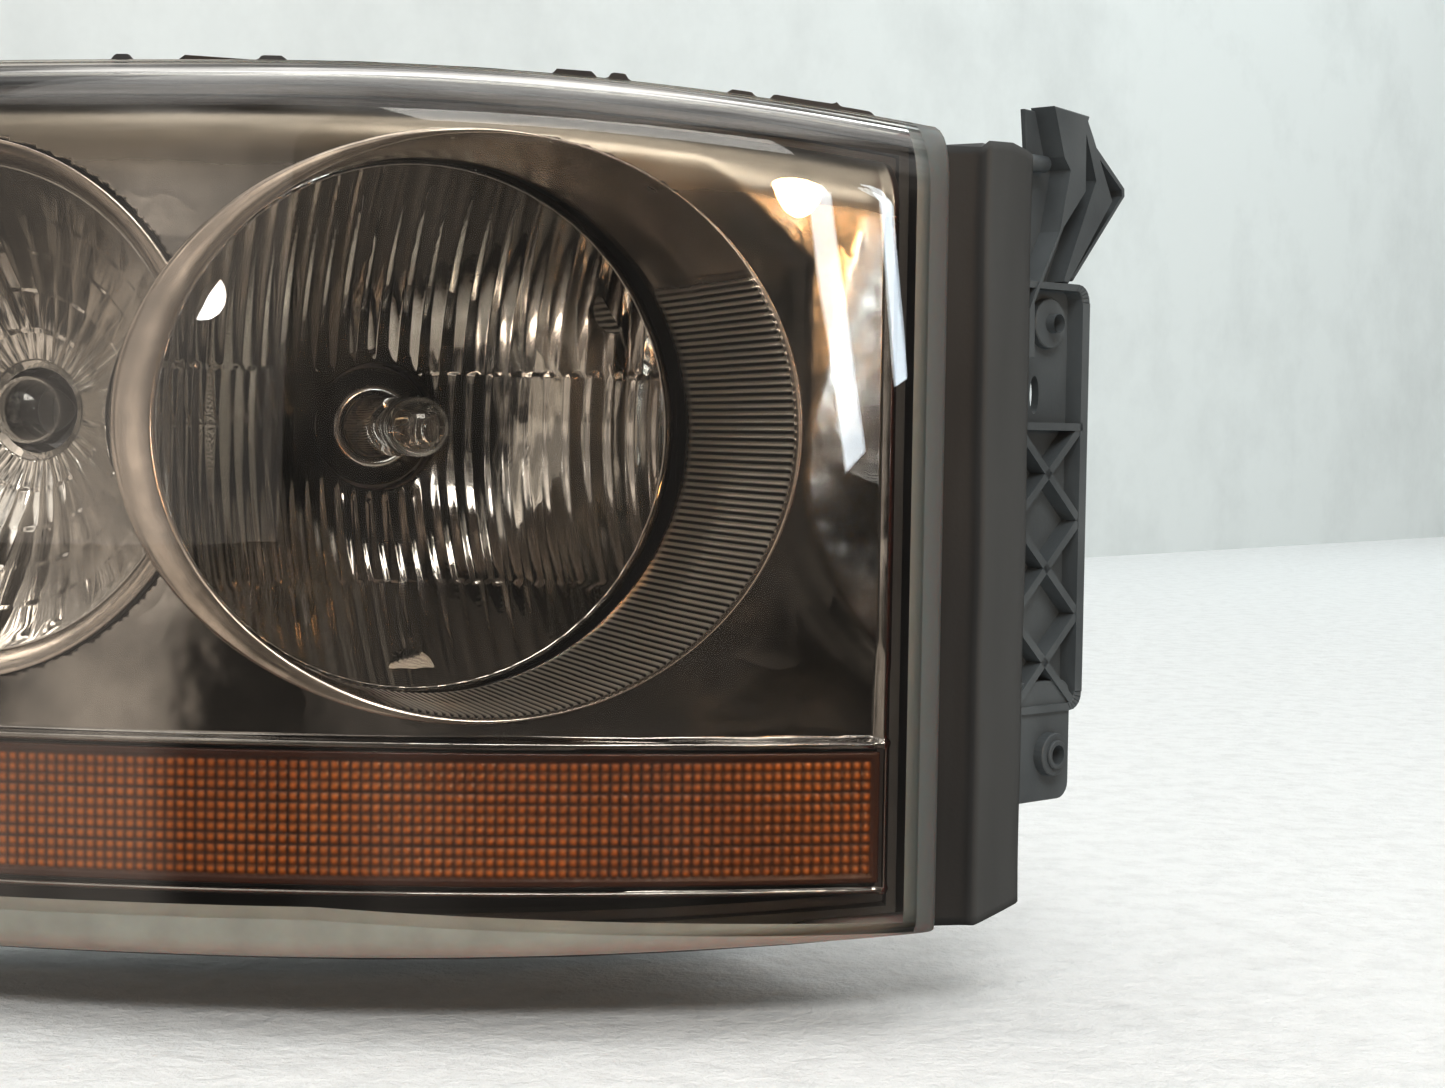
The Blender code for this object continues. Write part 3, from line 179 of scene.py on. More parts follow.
def bench_finish(name, colour, grain, height):
    """Pale sprayed plaster: fine pits and faint grey specks."""
    made = bpy.data.materials.new(name)
    made.use_nodes = True
    tree = made.node_tree
    shader = tree.nodes["Principled BSDF"]
    shader.inputs["Roughness"].default_value = 0.75
    where = tree.nodes.new("ShaderNodeTexCoord")
    specks = tree.nodes.new("ShaderNodeTexNoise")
    specks.inputs["Scale"].default_value = grain
    specks.inputs["Detail"].default_value = 6.0
    specks.inputs["Roughness"].default_value = 0.7
    tree.links.new(where.outputs["Object"], specks.inputs["Vector"])
    ramp = tree.nodes.new("ShaderNodeValToRGB")
    ramp.color_ramp.elements[0].position = 0.30
    ramp.color_ramp.elements[0].color = (*[c * 0.90 for c in colour], 1.0)
    ramp.color_ramp.elements[1].position = 0.55
    ramp.color_ramp.elements[1].color = (*colour, 1.0)
    tree.links.new(specks.outputs["Fac"], ramp.inputs[0])
    tree.links.new(ramp.outputs["Color"], shader.inputs["Base Color"])
    bump = tree.nodes.new("ShaderNodeBump")
    bump.inputs["Strength"].default_value = 0.5
    bump.inputs["Distance"].default_value = height
    tree.links.new(specks.outputs["Fac"], bump.inputs["Height"])
    tree.links.new(bump.outputs["Normal"], shader.inputs["Normal"])
    return made


def stage_sheet(name, corners, finish):
    """One four-cornered sheet of the room, which the chrome and the lens don't see."""
    data = bpy.data.meshes.new(name)
    data.from_pydata(corners, [], [(0, 1, 2, 3)])
    data.materials.append(finish)
    obj = bpy.data.objects.new(name, data)
    bpy.context.scene.collection.objects.link(obj)
    obj.visible_glossy = False
    obj.visible_transmission = False
    return obj


FLOOR_Z = cad_box[0][2] - 0.0005
stage_sheet("bench_top", [(-9, -7, FLOOR_Z), (9, -7, FLOOR_Z), (9, 8, FLOOR_Z),
                          (-9, 8, FLOOR_Z)],
            bench_finish("bench_plaster", (0.83, 0.85, 0.86), 70.0, 0.012))
WALL_ENDS = ((-6.96, -2.87), (8.01, 6.18))
stage_sheet("back_wall", [(*WALL_ENDS[0], FLOOR_Z), (*WALL_ENDS[1], FLOOR_Z),
                          (*WALL_ENDS[1], 5.0), (*WALL_ENDS[0], 5.0)],
            bench_finish("wall_paint", (0.84, 0.88, 0.88), 3.0, 0.0005))

# ---------------------------------------------------------------- outer lens
# Injection-moulded clear cover, 3 mm thick: one swept face, rounded hard at the top, with
# side walls that sink into the housing's groove. Its rim and lower edge are frosted, their
# colour partly a painted refraction of the white bench and the darker surroundings.
EDGE_X, EDGE_Y = 0.114, -0.149
START_TURN = math.radians(6.0)
SWEEP_R, CORNER_R, CORNER_AT = 0.540, 0.120, 0.335
LENS_LONG = 0.405
LENS_WALL = 0.003
FOOT_ROWS = 9
LENS_DEEP = 0.0215
SIDE_LAP, TOP_LAP = 0.0022, 0.0034
ROUND_IN, ROUND_OUT, ROUND_LOW, ROUND_TOP = 0.008, 0.010, 0.006, 0.0205
END_ROUND = 0.018


def sweep_turn(s):
    """Heading at a distance s: 6 degrees plus s over 540 mm, then over 120 mm at the end."""
    return (START_TURN + np.minimum(s, CORNER_AT) / SWEEP_R
            + np.maximum(s - CORNER_AT, 0.0) / CORNER_R)


def sweep(s, depth):
    """Plan position on the lens's two arcs, moved back square to them by a depth."""
    bend = START_TURN + np.minimum(s, CORNER_AT) / SWEEP_R
    turn = sweep_turn(s)
    x = EDGE_X - SWEEP_R * (np.sin(bend) - math.sin(START_TURN))
    y = EDGE_Y + SWEEP_R * (math.cos(START_TURN) - np.cos(bend))
    x = x - CORNER_R * (np.sin(turn) - np.sin(bend)) + depth * np.sin(turn)
    y = y + CORNER_R * (np.cos(bend) - np.cos(turn)) + depth * np.cos(turn)
    return x, y


def sweep_depth_y(x, depth):
    """Y of the long arc at x: its centre less the root of radius squared less run squared."""
    cx = EDGE_X + SWEEP_R * math.sin(START_TURN)
    cy = EDGE_Y + SWEEP_R * math.cos(START_TURN)
    return cy - np.sqrt((SWEEP_R - depth) ** 2 - (cx - x) ** 2)


def rounding(distance, radius):
    """Fall of a rounded edge: radius less the root of radius squared less reach squared."""
    reach = np.clip(radius - distance, 0.0, radius)
    return radius - np.sqrt(radius ** 2 - reach ** 2)


def lens_top(s):
    """Upper outline: falls 12 mm to the inboard end and 21 mm to the outboard one."""
    fall = 0.012 * np.clip(1.0 - s / 0.180, 0.0, None) ** 2
    end = np.clip((s - 0.300) / (LENS_LONG - 0.300), 0.0, None)
    return 0.091 - fall - 0.021 * end ** 2 - rounding(LENS_LONG - s, END_ROUND)


def lens_bottom(s):
    """Lower outline: rises 5.3 mm to the inboard end and 27 mm to the outboard one."""
    rise = 0.0053 * np.clip(1.0 - s / 0.180, 0.0, None) ** 2
    end = np.clip((s - 0.300) / (LENS_LONG - 0.300), 0.0, None)
    return -0.137 + rise + 0.027 * end ** 2 + rounding(LENS_LONG - s, END_ROUND)


def eased(first, last, near, far, counts):
    """Stations that crowd into the rounded edges: quarter-sine steps at both ends."""
    a, middle, b = counts
    start = first + near * np.sin(np.linspace(0.0, math.pi / 2, a)) ** 2
    stop = last - far * np.sin(np.linspace(math.pi / 2, 0.0, b)) ** 2
    return np.concatenate([start, np.linspace(start[-1], stop[0], middle)[1:-1], stop])


def lens_skin(inset, depth):
    """Grid over the lapped outline less an inset: depth plus the hypotenuse of edge falls.

    The first rows take in the frosted foot, which grows from nothing to 10.5 mm tall.
    """
    first, last = inset - SIDE_LAP, LENS_LONG + SIDE_LAP - inset
    s = eased(first, last, ROUND_IN, END_ROUND, (8, 130, 14))[:, None]
    held = np.clip(s, 0.0, LENS_LONG)
    low, high = lens_bottom(held) + inset, lens_top(held) + TOP_LAP - inset
    foot = 0.0006 + 0.0102 * np.clip((s + SIDE_LAP) / 0.165, 0.0, 1.0)
    rows = np.linspace(0.0, 1.0, FOOT_ROWS)[None, :]
    part = eased(0.0, 1.0, 0.02, 0.15, (3, 44, 14))[None, 1:]
    z = np.concatenate([low + foot * rows, low + foot + (high - low - foot) * part], axis=1)
    side = rounding(s - first, ROUND_IN - inset) + rounding(last - s, ROUND_OUT - inset)
    edge = rounding(z - low, ROUND_LOW - inset) + rounding(high - z, ROUND_TOP - inset)
    x, y = sweep(s + 0 * z, depth + np.hypot(side, edge))
    return np.stack([x, y, z + BEAM_Z], axis=-1), s[:, 0]


def walled(grid, s, depth):
    """The grid ringed by its own rim pushed straight back to one depth."""
    wide = np.pad(grid, ((1, 1), (1, 1), (0, 0)), mode="edge")
    x, y = sweep(np.pad(s, 1, mode="edge"), depth)
    for edge in (np.s_[0, :], np.s_[-1, :]):
        row = 0 if edge[0] == 0 else -1
        wide[edge][:, 0] = x[row]
        wide[edge][:, 1] = y[row]
    for column in (0, -1):
        wide[:, column, 0] = x
        wide[:, column, 1] = y
    return wide


def shell(name, front, rear, finish, second=None, chosen=None):
    """A closed plate from two point grids: both faces, and a strip round the four edges.

    Faces of the grid that are chosen, and the strip, take the second finish.
    """
    n, m = front.shape[:2]
    index = np.arange(n * m).reshape(n, m)
    quads = np.stack([index[:-1, :-1], index[1:, :-1], index[1:, 1:], index[:-1, 1:]],
                     axis=-1).reshape(-1, 4)
    loop = np.concatenate([index[:-1, 0], index[-1, :-1], index[:0:-1, -1], index[0, :0:-1]])
    after = np.roll(loop, -1)
    strip = np.stack([loop, after, after + n * m, loop + n * m], axis=-1)
    faces = np.concatenate([quads, quads[:, ::-1] + n * m, strip])
    points = np.concatenate([front.reshape(-1, 3), rear.reshape(-1, 3)])
    data = bpy.data.meshes.new(name)
    data.from_pydata(points, [], faces.tolist())
    data.materials.append(finish)
    if second is not None:
        data.materials.append(second)
        flags = np.concatenate([chosen.ravel(), chosen.ravel(), np.ones(len(strip), bool)])
        data.polygons.foreach_set("material_index", flags.astype(np.int32))
    return smooth_piece(name, data)


def smooth_piece(name, data, smooth=True):
    """Merge doubled points, turn every face outward, and put the piece in the scene."""
    work = bmesh.new()
    work.from_mesh(data)
    bmesh.ops.remove_doubles(work, verts=work.verts, dist=0.000002)
    bmesh.ops.recalc_face_normals(work, faces=work.faces)
    for face in work.faces:
        face.smooth = smooth
    work.to_mesh(data)
    work.free()
    obj = bpy.data.objects.new(name, data)
    bpy.context.scene.collection.objects.link(obj)
    return obj


def ride_as(obj, body, nodes):
    """Fix a piece to a body, in place of its nodes."""
    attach(obj, body)
    if nodes:
        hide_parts(*nodes)
    return obj


def noise(tree, where, scale, detail=4.0, stretch=None):
    """Noise on a coordinate, drawn out along an axis if asked."""
    node = tree.nodes.new("ShaderNodeTexNoise")
    node.inputs["Scale"].default_value = scale
    node.inputs["Detail"].default_value = detail
    source = where.outputs["Object"]
    if stretch:
        turn = tree.nodes.new("ShaderNodeMapping")
        turn.inputs["Scale"].default_value = stretch
        tree.links.new(source, turn.inputs["Vector"])
        source = turn.outputs["Vector"]
    tree.links.new(source, node.inputs["Vector"])
    return node.outputs["Fac"]


def spread(tree, value, low, high, to_low, to_high):
    """Map a value's range onto another."""
    node = tree.nodes.new("ShaderNodeMapRange")
    for socket, number in (("From Min", low), ("From Max", high), ("To Min", to_low),
                           ("To Max", to_high)):
        node.inputs[socket].default_value = number
    tree.links.new(value, node.inputs["Value"])
    return node.outputs["Result"]


def two_colours(tree, value, first, second):
    """Blend between two colours by a value."""
    node = tree.nodes.new("ShaderNodeMix")
    node.data_type = "RGBA"
    node.inputs["A"].default_value = (*first, 1.0)
    node.inputs["B"].default_value = (*second, 1.0)
    tree.links.new(value, node.inputs["Factor"])
    return node.outputs["Result"]


def raised(tree, shader, value, height, strength=1.0):
    """Use a value as relief on a shader."""
    node = tree.nodes.new("ShaderNodeBump")
    node.inputs["Strength"].default_value = strength
    node.inputs["Distance"].default_value = height
    tree.links.new(value, node.inputs["Height"])
    tree.links.new(node.outputs["Normal"], shader.inputs["Normal"])


def blank(name):
    """A new Principled material with an Object coordinate."""
    made = bpy.data.materials.new(name)
    made.use_nodes = True
    tree = made.node_tree
    return made, tree, tree.nodes["Principled BSDF"], tree.nodes.new("ShaderNodeTexCoord")


def clear_polycarbonate():
    """Clear plastic with a road-worn face: fine haze, specks and shallow wavy flow."""
    made, tree, shader, where = blank("clear_polycarbonate")
    shader.inputs["Transmission Weight"].default_value = 0.996
    shader.inputs["IOR"].default_value = 1.49
    shader.inputs["Specular IOR Level"].default_value = 0.30
    shader.inputs["Base Color"].default_value = (0.97, 0.955, 0.925, 1.0)
    haze = noise(tree, where, 38.0, 6.0)
    tree.links.new(spread(tree, haze, 0.45, 0.75, 0.004, 0.030), shader.inputs["Roughness"])
    raised(tree, shader, noise(tree, where, 16.0, 2.0), 0.00012, 0.6)
    return made


def frosted_rim_with_painted_refraction():
    """The same plastic where it is left rough and has weathered milky; its pale tone is partly a
    painted refraction of the white bench, and its inboard edge is painted darker grey-green for the
    surroundings seen through it.
    """
    made, tree, shader, where = blank("frosted_rim_with_painted_refraction")
    mottled = noise(tree, where, 90.0, 5.0)
    split = tree.nodes.new("ShaderNodeSeparateXYZ")
    tree.links.new(where.outputs["Object"], split.inputs[0])
    # Pale mottled tone: milky frosting, partly a painted refraction of the white bench.
    pale = two_colours(tree, spread(tree, mottled, 0.2, 0.8, 0.0, 1.0),
                       (0.25, 0.245, 0.22), (0.34, 0.335, 0.30))
    # Painted darker grey-green toward the inboard edge: a painted refraction of the surroundings.
    edge = tree.nodes.new("ShaderNodeMix")
    edge.data_type = "RGBA"
    edge.inputs["B"].default_value = (0.115, 0.132, 0.130, 1.0)
    tree.links.new(spread(tree, split.outputs[0], 0.100, 0.108, 0.0, 1.0),
                   edge.inputs["Factor"])
    tree.links.new(pale, edge.inputs["A"])
    tree.links.new(edge.outputs["Result"], shader.inputs["Base Color"])
    shader.inputs["Roughness"].default_value = 0.38
    shader.inputs["Subsurface Weight"].default_value = 0.25
    raised(tree, shader, mottled, 0.0002, 0.5)
    return made


RIM_COLUMNS = 7


def outer_lens():
    """Outer and inner skins, with the frosted finish and its painted refraction on the rim, foot
    and side walls.
    """
    outer, s_out = lens_skin(0.0, 0.0)
    inner, s_in = lens_skin(LENS_WALL, LENS_WALL)
    front, rear = walled(outer, s_out, LENS_DEEP), walled(inner, s_in, LENS_DEEP)
    rough = np.zeros((front.shape[0] - 1, front.shape[1] - 1), bool)
    rough[:, :FOOT_ROWS] = True
    rough[:RIM_COLUMNS] = True
    lens = shell("clear_cover", front, rear, clear_polycarbonate(), frosted_rim_with_painted_refraction(), rough)
    lens.visible_shadow = False
    return ride_as(lens, "housing", ["outer_lens"])


outer_lens()

# ---------------------------------------------------------------- bezel
# Thin moulded panel, metallised and smoked, that hides the housing. It has an upright
# ridge by its inboard edge, a scooped zone round the ring and a raised frame round the
# amber strip. A satin brow rolls over its top; its taupe colour is a painted reflection.
BEZEL_BACK, BEZEL_WALL, BEZEL_INSET = 0.014, 0.002, 0.0085
BARREL_R, BARREL_WALL = 0.0785, 0.0012
AMBER_LOW, AMBER_HIGH = -0.1195, -0.0845
BEZEL_FOOT = AMBER_LOW - 0.0030
RING_WIDE, RING_TALL = 0.0785, 0.0753
AMBER_FROM, AMBER_TO = 0.012, 0.335
RIDGE_AT, RIDGE_WIDE, RIDGE_TALL = 0.0112, 0.0024, 0.0022
OUT_AT, OUT_Z, OUT_R, OUT_RIM_BACK = 0.268, 0.003, 0.066, 0.021
LIP_WIDE = 0.0062
FULL_DEEP = 0.25


def smoked_chrome(name, tint, rough, brow=False, ribs=False):
    """Aluminium under smoked lacquer: ripple, creases, dull dust; the brow is satin with a painted
    taupe reflection, and the ribs carry painted shade and painted highlights.
    """
    made, tree, shader, where = blank(name)
    shader.inputs["Metallic"].default_value = 1.0
    dust = noise(tree, where, 55.0, 6.0)
    darker = tuple(c * 0.62 for c in tint)
    colour = two_colours(tree, spread(tree, dust, 0.35, 0.7, 0.0, 1.0), tint, darker)
    polish = spread(tree, dust, 0.42, 0.72, rough, rough + 0.12)
    if brow:
        share = tree.nodes.new("ShaderNodeAttribute")
        share.attribute_name = "brow"
        satin = tree.nodes.new("ShaderNodeMix")
        satin.inputs["B"].default_value = 0.36
        tree.links.new(share.outputs["Fac"], satin.inputs["Factor"])
        tree.links.new(polish, satin.inputs["A"])
        polish = satin.outputs["Result"]
        # The brow's taupe colour is a painted reflection.
        painted_taupe_reflection = tree.nodes.new("ShaderNodeMix")
        painted_taupe_reflection.data_type = "RGBA"
        painted_taupe_reflection.inputs["B"].default_value = (0.25, 0.222, 0.185, 1.0)
        tree.links.new(share.outputs["Fac"], painted_taupe_reflection.inputs["Factor"])
        tree.links.new(colour, painted_taupe_reflection.inputs["A"])
        colour = painted_taupe_reflection.outputs["Result"]
    if ribs:
        crest = tree.nodes.new("ShaderNodeAttribute")
        crest.attribute_name = "rib_crest"
        ribbed = tree.nodes.new("ShaderNodeAttribute")
        ribbed.attribute_name = "ribbed"
        # Rib valleys painted near black as shade, crests painted near white as highlight.
        painted_rib_shade_and_highlight = two_colours(tree, spread(tree, crest.outputs["Fac"], 0.45, 0.85, 0.0, 1.0),
                             (0.030, 0.029, 0.027), (0.86, 0.84, 0.79))
        over = tree.nodes.new("ShaderNodeMix")
        over.data_type = "RGBA"
        tree.links.new(ribbed.outputs["Fac"], over.inputs["Factor"])
        tree.links.new(colour, over.inputs["A"])
        tree.links.new(painted_rib_shade_and_highlight, over.inputs["B"])
        colour = over.outputs["Result"]
        dull = tree.nodes.new("ShaderNodeMix")
        dull.inputs["B"].default_value = 0.42
        tree.links.new(ribbed.outputs["Fac"], dull.inputs["Factor"])
        tree.links.new(polish, dull.inputs["A"])
        polish = dull.outputs["Result"]
    tree.links.new(colour, shader.inputs["Base Color"])
    tree.links.new(polish, shader.inputs["Roughness"])
    ripple = noise(tree, where, 14.0, 2.0)
    crease = tree.nodes.new("ShaderNodeMath")
    crease.operation = "PINGPONG"
    crease.inputs[1].default_value = 0.5
    tree.links.new(spread(tree, noise(tree, where, 26.0, 3.0), 0.0, 1.0, 0.0, 3.0),
                   crease.inputs[0])
    both = tree.nodes.new("ShaderNodeMath")
    both.operation = "MULTIPLY_ADD"
    both.inputs[1].default_value = 0.16
    tree.links.new(crease.outputs[0], both.inputs[0])
    tree.links.new(ripple, both.inputs[2])
    raised(tree, shader, both.outputs[0], 0.0026, 0.65)
    return made


BEZEL_CHROME = smoked_chrome("bezel_smoked_chrome", (0.35, 0.335, 0.32), 0.085, brow=True)
RING_CHROME = smoked_chrome("ring_smoked_chrome", (0.66, 0.59, 0.53), 0.16, ribs=True)


def bump_between(value, centre, half, soft):
    """One inside half a width of a centre, falling to nought over a soft edge."""
    return np.clip((half + soft - np.abs(value - centre)) / soft, 0.0, 1.0)


def bezel_grid(depth):
    """Panel depth: swept back, plus edge falls, less the ridge and frame, plus hollows.

    Beside the ring the panel dips behind a crease, by a depth that settles exponentially.
    A second, shallow fold runs from the crease up to the ridge.
    """
    s = eased(BEZEL_INSET, LENS_LONG - BEZEL_INSET, 0.010, END_ROUND, (14, 230, 14))[:, None]
    part = eased(0.0, 1.0, 0.22, 0.16, (60, 110, 26))[None, :]
    low = np.maximum(lens_bottom(s) + BEZEL_INSET, BEZEL_FOOT)
    high = lens_top(s) - BEZEL_INSET + 0.002
    z = low + (high - low) * part
    side = rounding(s - BEZEL_INSET, 0.003) + rounding(LENS_LONG - BEZEL_INSET - s, 0.010)
    edge = rounding(z - low, 0.0008) + rounding(high - z, 0.0175)
    ridge = bump_between(s, RIDGE_AT, RIDGE_WIDE / 2 - 0.0008, 0.0008) * (z < 0.073)
    frame_up = bump_between(z, AMBER_HIGH + 0.0022, 0.0004, 0.0005)
    frame_low = bump_between(z, AMBER_LOW - 0.0018, 0.0003, 0.0005)
    raise_by = np.maximum(RIDGE_TALL * ridge, 0.0011 * np.maximum(frame_up, frame_low))
    x, _ = sweep(s + 0 * z, BEZEL_BACK)
    crease = (0.0822 + 11.0 * np.clip(-0.0134 - z, 0.0, None) ** 2
              - 0.99 * np.clip(z - 0.0448, 0.0, None))
    fold = 0.0826 + 0.255 * np.clip(z, 0.0, None)
    inside = np.clip((z - AMBER_HIGH - 0.0028) / 0.0008, 0.0, 1.0)
    hollow = 0.0030 * (1.0 - np.exp(-np.clip(crease - x, 0.0, None) / 0.012)) * inside
    tilt = 0.075 * np.clip(fold - np.maximum(x, crease), 0.0, 0.016) * (z > 0.0)
    rise = np.clip((0.080 - z) / 0.012, 0.0, 1.0)
    x, y = sweep(s + 0 * z, depth + np.hypot(side, edge) - raise_by
                 + (hollow + tilt) * (1.0 - ridge) * rise)
    brow = np.clip((z - high + 0.024) / 0.012, 0.0, 1.0)
    return np.stack([x, y, z + BEAM_Z], axis=-1), brow


def carve(piece, name, cutters):
    """Cut closed meshes out of a piece and keep the result as its mesh."""
    for cutter in cutters:
        step = piece.modifiers.new("carve", "BOOLEAN")
        step.operation = "DIFFERENCE"
        step.object = cutter
    graph = bpy.context.evaluated_depsgraph_get()
    data = bpy.data.meshes.new_from_object(piece.evaluated_get(graph))
    data.name = name
    piece.modifiers.clear()
    piece.data = data
    for cutter in cutters:
        bpy.data.objects.remove(cutter)
    return piece


def drum(radius, start, turn, sides=128, length=FULL_DEEP, tall=1.0):
    """A plain cutter that runs to the rear from a start point, round or drawn upright."""
    work = bmesh.new()
    bmesh.ops.create_cone(work, cap_ends=True, segments=sides, radius1=radius,
                          radius2=radius, depth=length)
    bmesh.ops.translate(work, vec=(0.0, 0.0, length / 2), verts=work.verts)
    data = bpy.data.meshes.new("cutter")
    work.to_mesh(data)
    work.free()
    data.transform(Matrix.Translation(start) @ Matrix.Rotation(-turn, 4, "Z")
                   @ Matrix.Diagonal((1.0, 1.0, tall, 1.0))
                   @ Matrix.Rotation(-math.pi / 2, 4, "X"))
    obj = bpy.data.objects.new("cutter", data)
    bpy.context.scene.collection.objects.link(obj)
    return obj


def outboard_spot(depth):
    """A point on the outboard bowl's axis, so far behind its rim."""
    x, y = sweep(OUT_AT, OUT_RIM_BACK + depth)
    return Vector((float(x), float(y), OUT_Z + BEAM_Z))


OUT_TURN = float(sweep_turn(OUT_AT))


def strip_grid(s_range, z_range, depth, steps=120):
    """A grid on the sweep between two distances and two heights."""
    s = np.linspace(*s_range, steps)[:, None]
    z = np.array(z_range)[None, :]
    x, y = sweep(s + 0 * z, depth)
    return np.stack([x, y, z + 0 * s + BEAM_Z], axis=-1)


def bezel():
    """The panel, opened for the ring, the outboard bowl and the amber strip."""
    front, brow = bezel_grid(BEZEL_BACK)
    rear, _ = bezel_grid(BEZEL_BACK + BEZEL_WALL)
    panel = shell("bezel_panel", front, rear, BEZEL_CHROME)
    share = panel.data.attributes.new("brow", "FLOAT", "POINT")
    share.data.foreach_set("value", np.tile(brow.ravel(), 2).astype(np.float32))
    gap = 0.001
    span = (AMBER_FROM - gap, AMBER_TO + gap)
    high = (AMBER_LOW - gap, AMBER_HIGH + gap)
    window = shell("cutter", strip_grid(span, high, 0.006), strip_grid(span, high, 0.025),
                   BEZEL_CHROME)
    carve(panel, "bezel_panel",
          [drum(RING_WIDE + BARREL_WALL + 0.0006, Vector((0.0, -0.2, BEAM_Z)), 0.0,
                tall=(RING_TALL + BARREL_WALL) / (RING_WIDE + BARREL_WALL)),
           drum(OUT_R + LIP_WIDE - 0.0005, outboard_spot(-0.03), OUT_TURN, length=0.08), window])
    return ride_as(panel, "housing", ["bezel"])


bezel()

# ---------------------------------------------------------------- trim ring and barrel
# Crescent ring, wide outboard and thin inboard, with a deep barrel behind it. The barrel
# is ribbed along the beam on its inboard and lower sides. Metallised in one with the ring.
RING_BACK, RING_THICK = 0.0105, 0.0025
RING_HALF_WIDE, RING_HALF_TALL, RING_SHIFT = 0.0843, 0.0766, -0.0043
BARREL_END_WIDE, BARREL_END_TALL, BARREL_END_Y = 0.0768, 0.0742, -0.057
RIB_COUNT, RIB_TALL = 238, 0.0011
PER_RIB = 7


def ring_outer(across, up):
    """Reach of a shifted ellipse along a direction, from its quadratic."""
    a = (across / RING_HALF_WIDE) ** 2 + (up / RING_HALF_TALL) ** 2
    b = -2 * across * RING_SHIFT / RING_HALF_WIDE ** 2
    c = (RING_SHIFT / RING_HALF_WIDE) ** 2 - 1
    return (-b + np.sqrt(b * b - 4 * a * c)) / (2 * a)


def trim_ring():
    """Cross-section carried round the beam: crescent face, ribbed bore, plain outside."""
    angle = np.linspace(0.0, 2 * math.pi, RIB_COUNT * PER_RIB, endpoint=False)[:, None]
    across, up = np.cos(angle), np.sin(angle)
    outer = ring_outer(across, up)
    inner = 1.0 / np.hypot(across / RING_WIDE, up / RING_TALL)
    deep = 1.0 / np.hypot(across / BARREL_END_WIDE, up / BARREL_END_TALL)
    wave = np.abs(np.sin(angle * RIB_COUNT / 2))
    lean = np.degrees(np.arctan2(up, across))
    ribbed = np.clip((33 - lean) / 4, 0, 1) * np.clip((lean + 112) / 10, 0, 1)
    face_y = sweep_depth_y(inner * across, RING_BACK)
    share = np.array([0.0, 0.015, 0.03, 0.05, 0.50, 0.53, 0.56, 0.90, 1.0])[None, :]
    tall = np.array([0.0, 0.0, 1.0, 1.0, 1.0, 0.45, 0.35, 0.35, 0.0])[None, :]
    step_in = np.array([0.0, 0.0, 0.0, 0.0, 0.0, 0.0005, 0.0006, 0.0006, 0.0])[None, :]
    bore = inner + (deep - inner) * share - step_in
    bore = bore - RIB_TALL * wave * ribbed * tall
    bore_y = face_y + (BARREL_END_Y - face_y) * share
    crown = np.array([1.0, 0.85, 0.5, 0.15, 0.0])[None, :]
    face_r = inner + (outer - inner) * crown
    lift = 0.0007 * np.sin(math.pi * crown)
    face_out_y = sweep_depth_y(face_r * across, RING_BACK) - lift
    rear_r = np.concatenate([deep + BARREL_WALL,
                             inner + BARREL_WALL, outer], axis=1)
    rear_y = np.concatenate([BARREL_END_Y + 0 * inner,
                             sweep_depth_y((inner + BARREL_WALL) * across,
                                           RING_BACK + RING_THICK),
                             sweep_depth_y(outer * across, RING_BACK + RING_THICK)], axis=1)
    radius = np.concatenate([face_r, bore[:, 1:], rear_r], axis=1)
    y = np.concatenate([face_out_y, bore_y[:, 1:], rear_y], axis=1)
    points = np.stack([radius * across, y, radius * up + BEAM_Z], axis=-1)
    in_bore = np.zeros(points.shape[1])
    in_bore[6:12] = 1.0
    # The ribbed and rib_crest values place the ribs' painted shade and painted highlight.
    ring = hoop("crescent_ring", points, RING_CHROME,
                painted={"ribbed": ribbed * in_bore, "rib_crest": wave + 0 * in_bore})
    return ride_as(ring, "housing", ["trim_ring"])


def hoop(name, points, finish, closed_section=True, painted=None):
    """A grid of sections joined round a ring; each section closes on itself."""
    n, m = points.shape[:2]
    index = np.arange(n * m).reshape(n, m)
    ahead = np.roll(index, -1, axis=0)
    beside = np.roll(index, -1, axis=1)
    both = np.roll(ahead, -1, axis=1)
    faces = np.stack([index, ahead, both, beside], axis=-1)
    if not closed_section:
        faces = faces[:, :-1]
    data = bpy.data.meshes.new(name)
    data.from_pydata(points.reshape(-1, 3), [], faces.reshape(-1, 4).tolist())
    data.materials.append(finish)
    for label, value in (painted or {}).items():
        stored = data.attributes.new(label, "FLOAT", "POINT")
        stored.data.foreach_set("value", value.ravel().astype(np.float32))
    return smooth_piece(name, data)


trim_ring()

# ---------------------------------------------------------------- main bowl
# Parabolic bowl of bright metallised plastic. Its front face is broken into three bands of
# upright flutes that spread the beam. The liner here carries them; the CAD bowl with its
# neck and lugs stands behind.
BOWL_R, BOWL_FOCUS, BOWL_RIM_Y, NECK_R = 0.074, 0.027, -0.050, 0.019
BOWL_APEX_Y = BOWL_RIM_Y + BOWL_R ** 2 / (4 * BOWL_FOCUS)


def bright_metal(name, tint, rough):
    """Vacuum-metallised reflector: nearly a mirror, with a faint bloom of dust."""
    made, tree, shader, where = blank(name)
    shader.inputs["Metallic"].default_value = 1.0
    bloom = noise(tree, where, 40.0, 6.0)
    tree.links.new(two_colours(tree, spread(tree, bloom, 0.4, 0.75, 0.0, 1.0), tint,
                               tuple(c * 0.66 for c in tint)), shader.inputs["Base Color"])
    tree.links.new(spread(tree, bloom, 0.4, 0.7, rough, rough + 0.12),
                   shader.inputs["Roughness"])
    raised(tree, shader, noise(tree, where, 60.0, 3.0), 0.0004, 0.25)
    return made


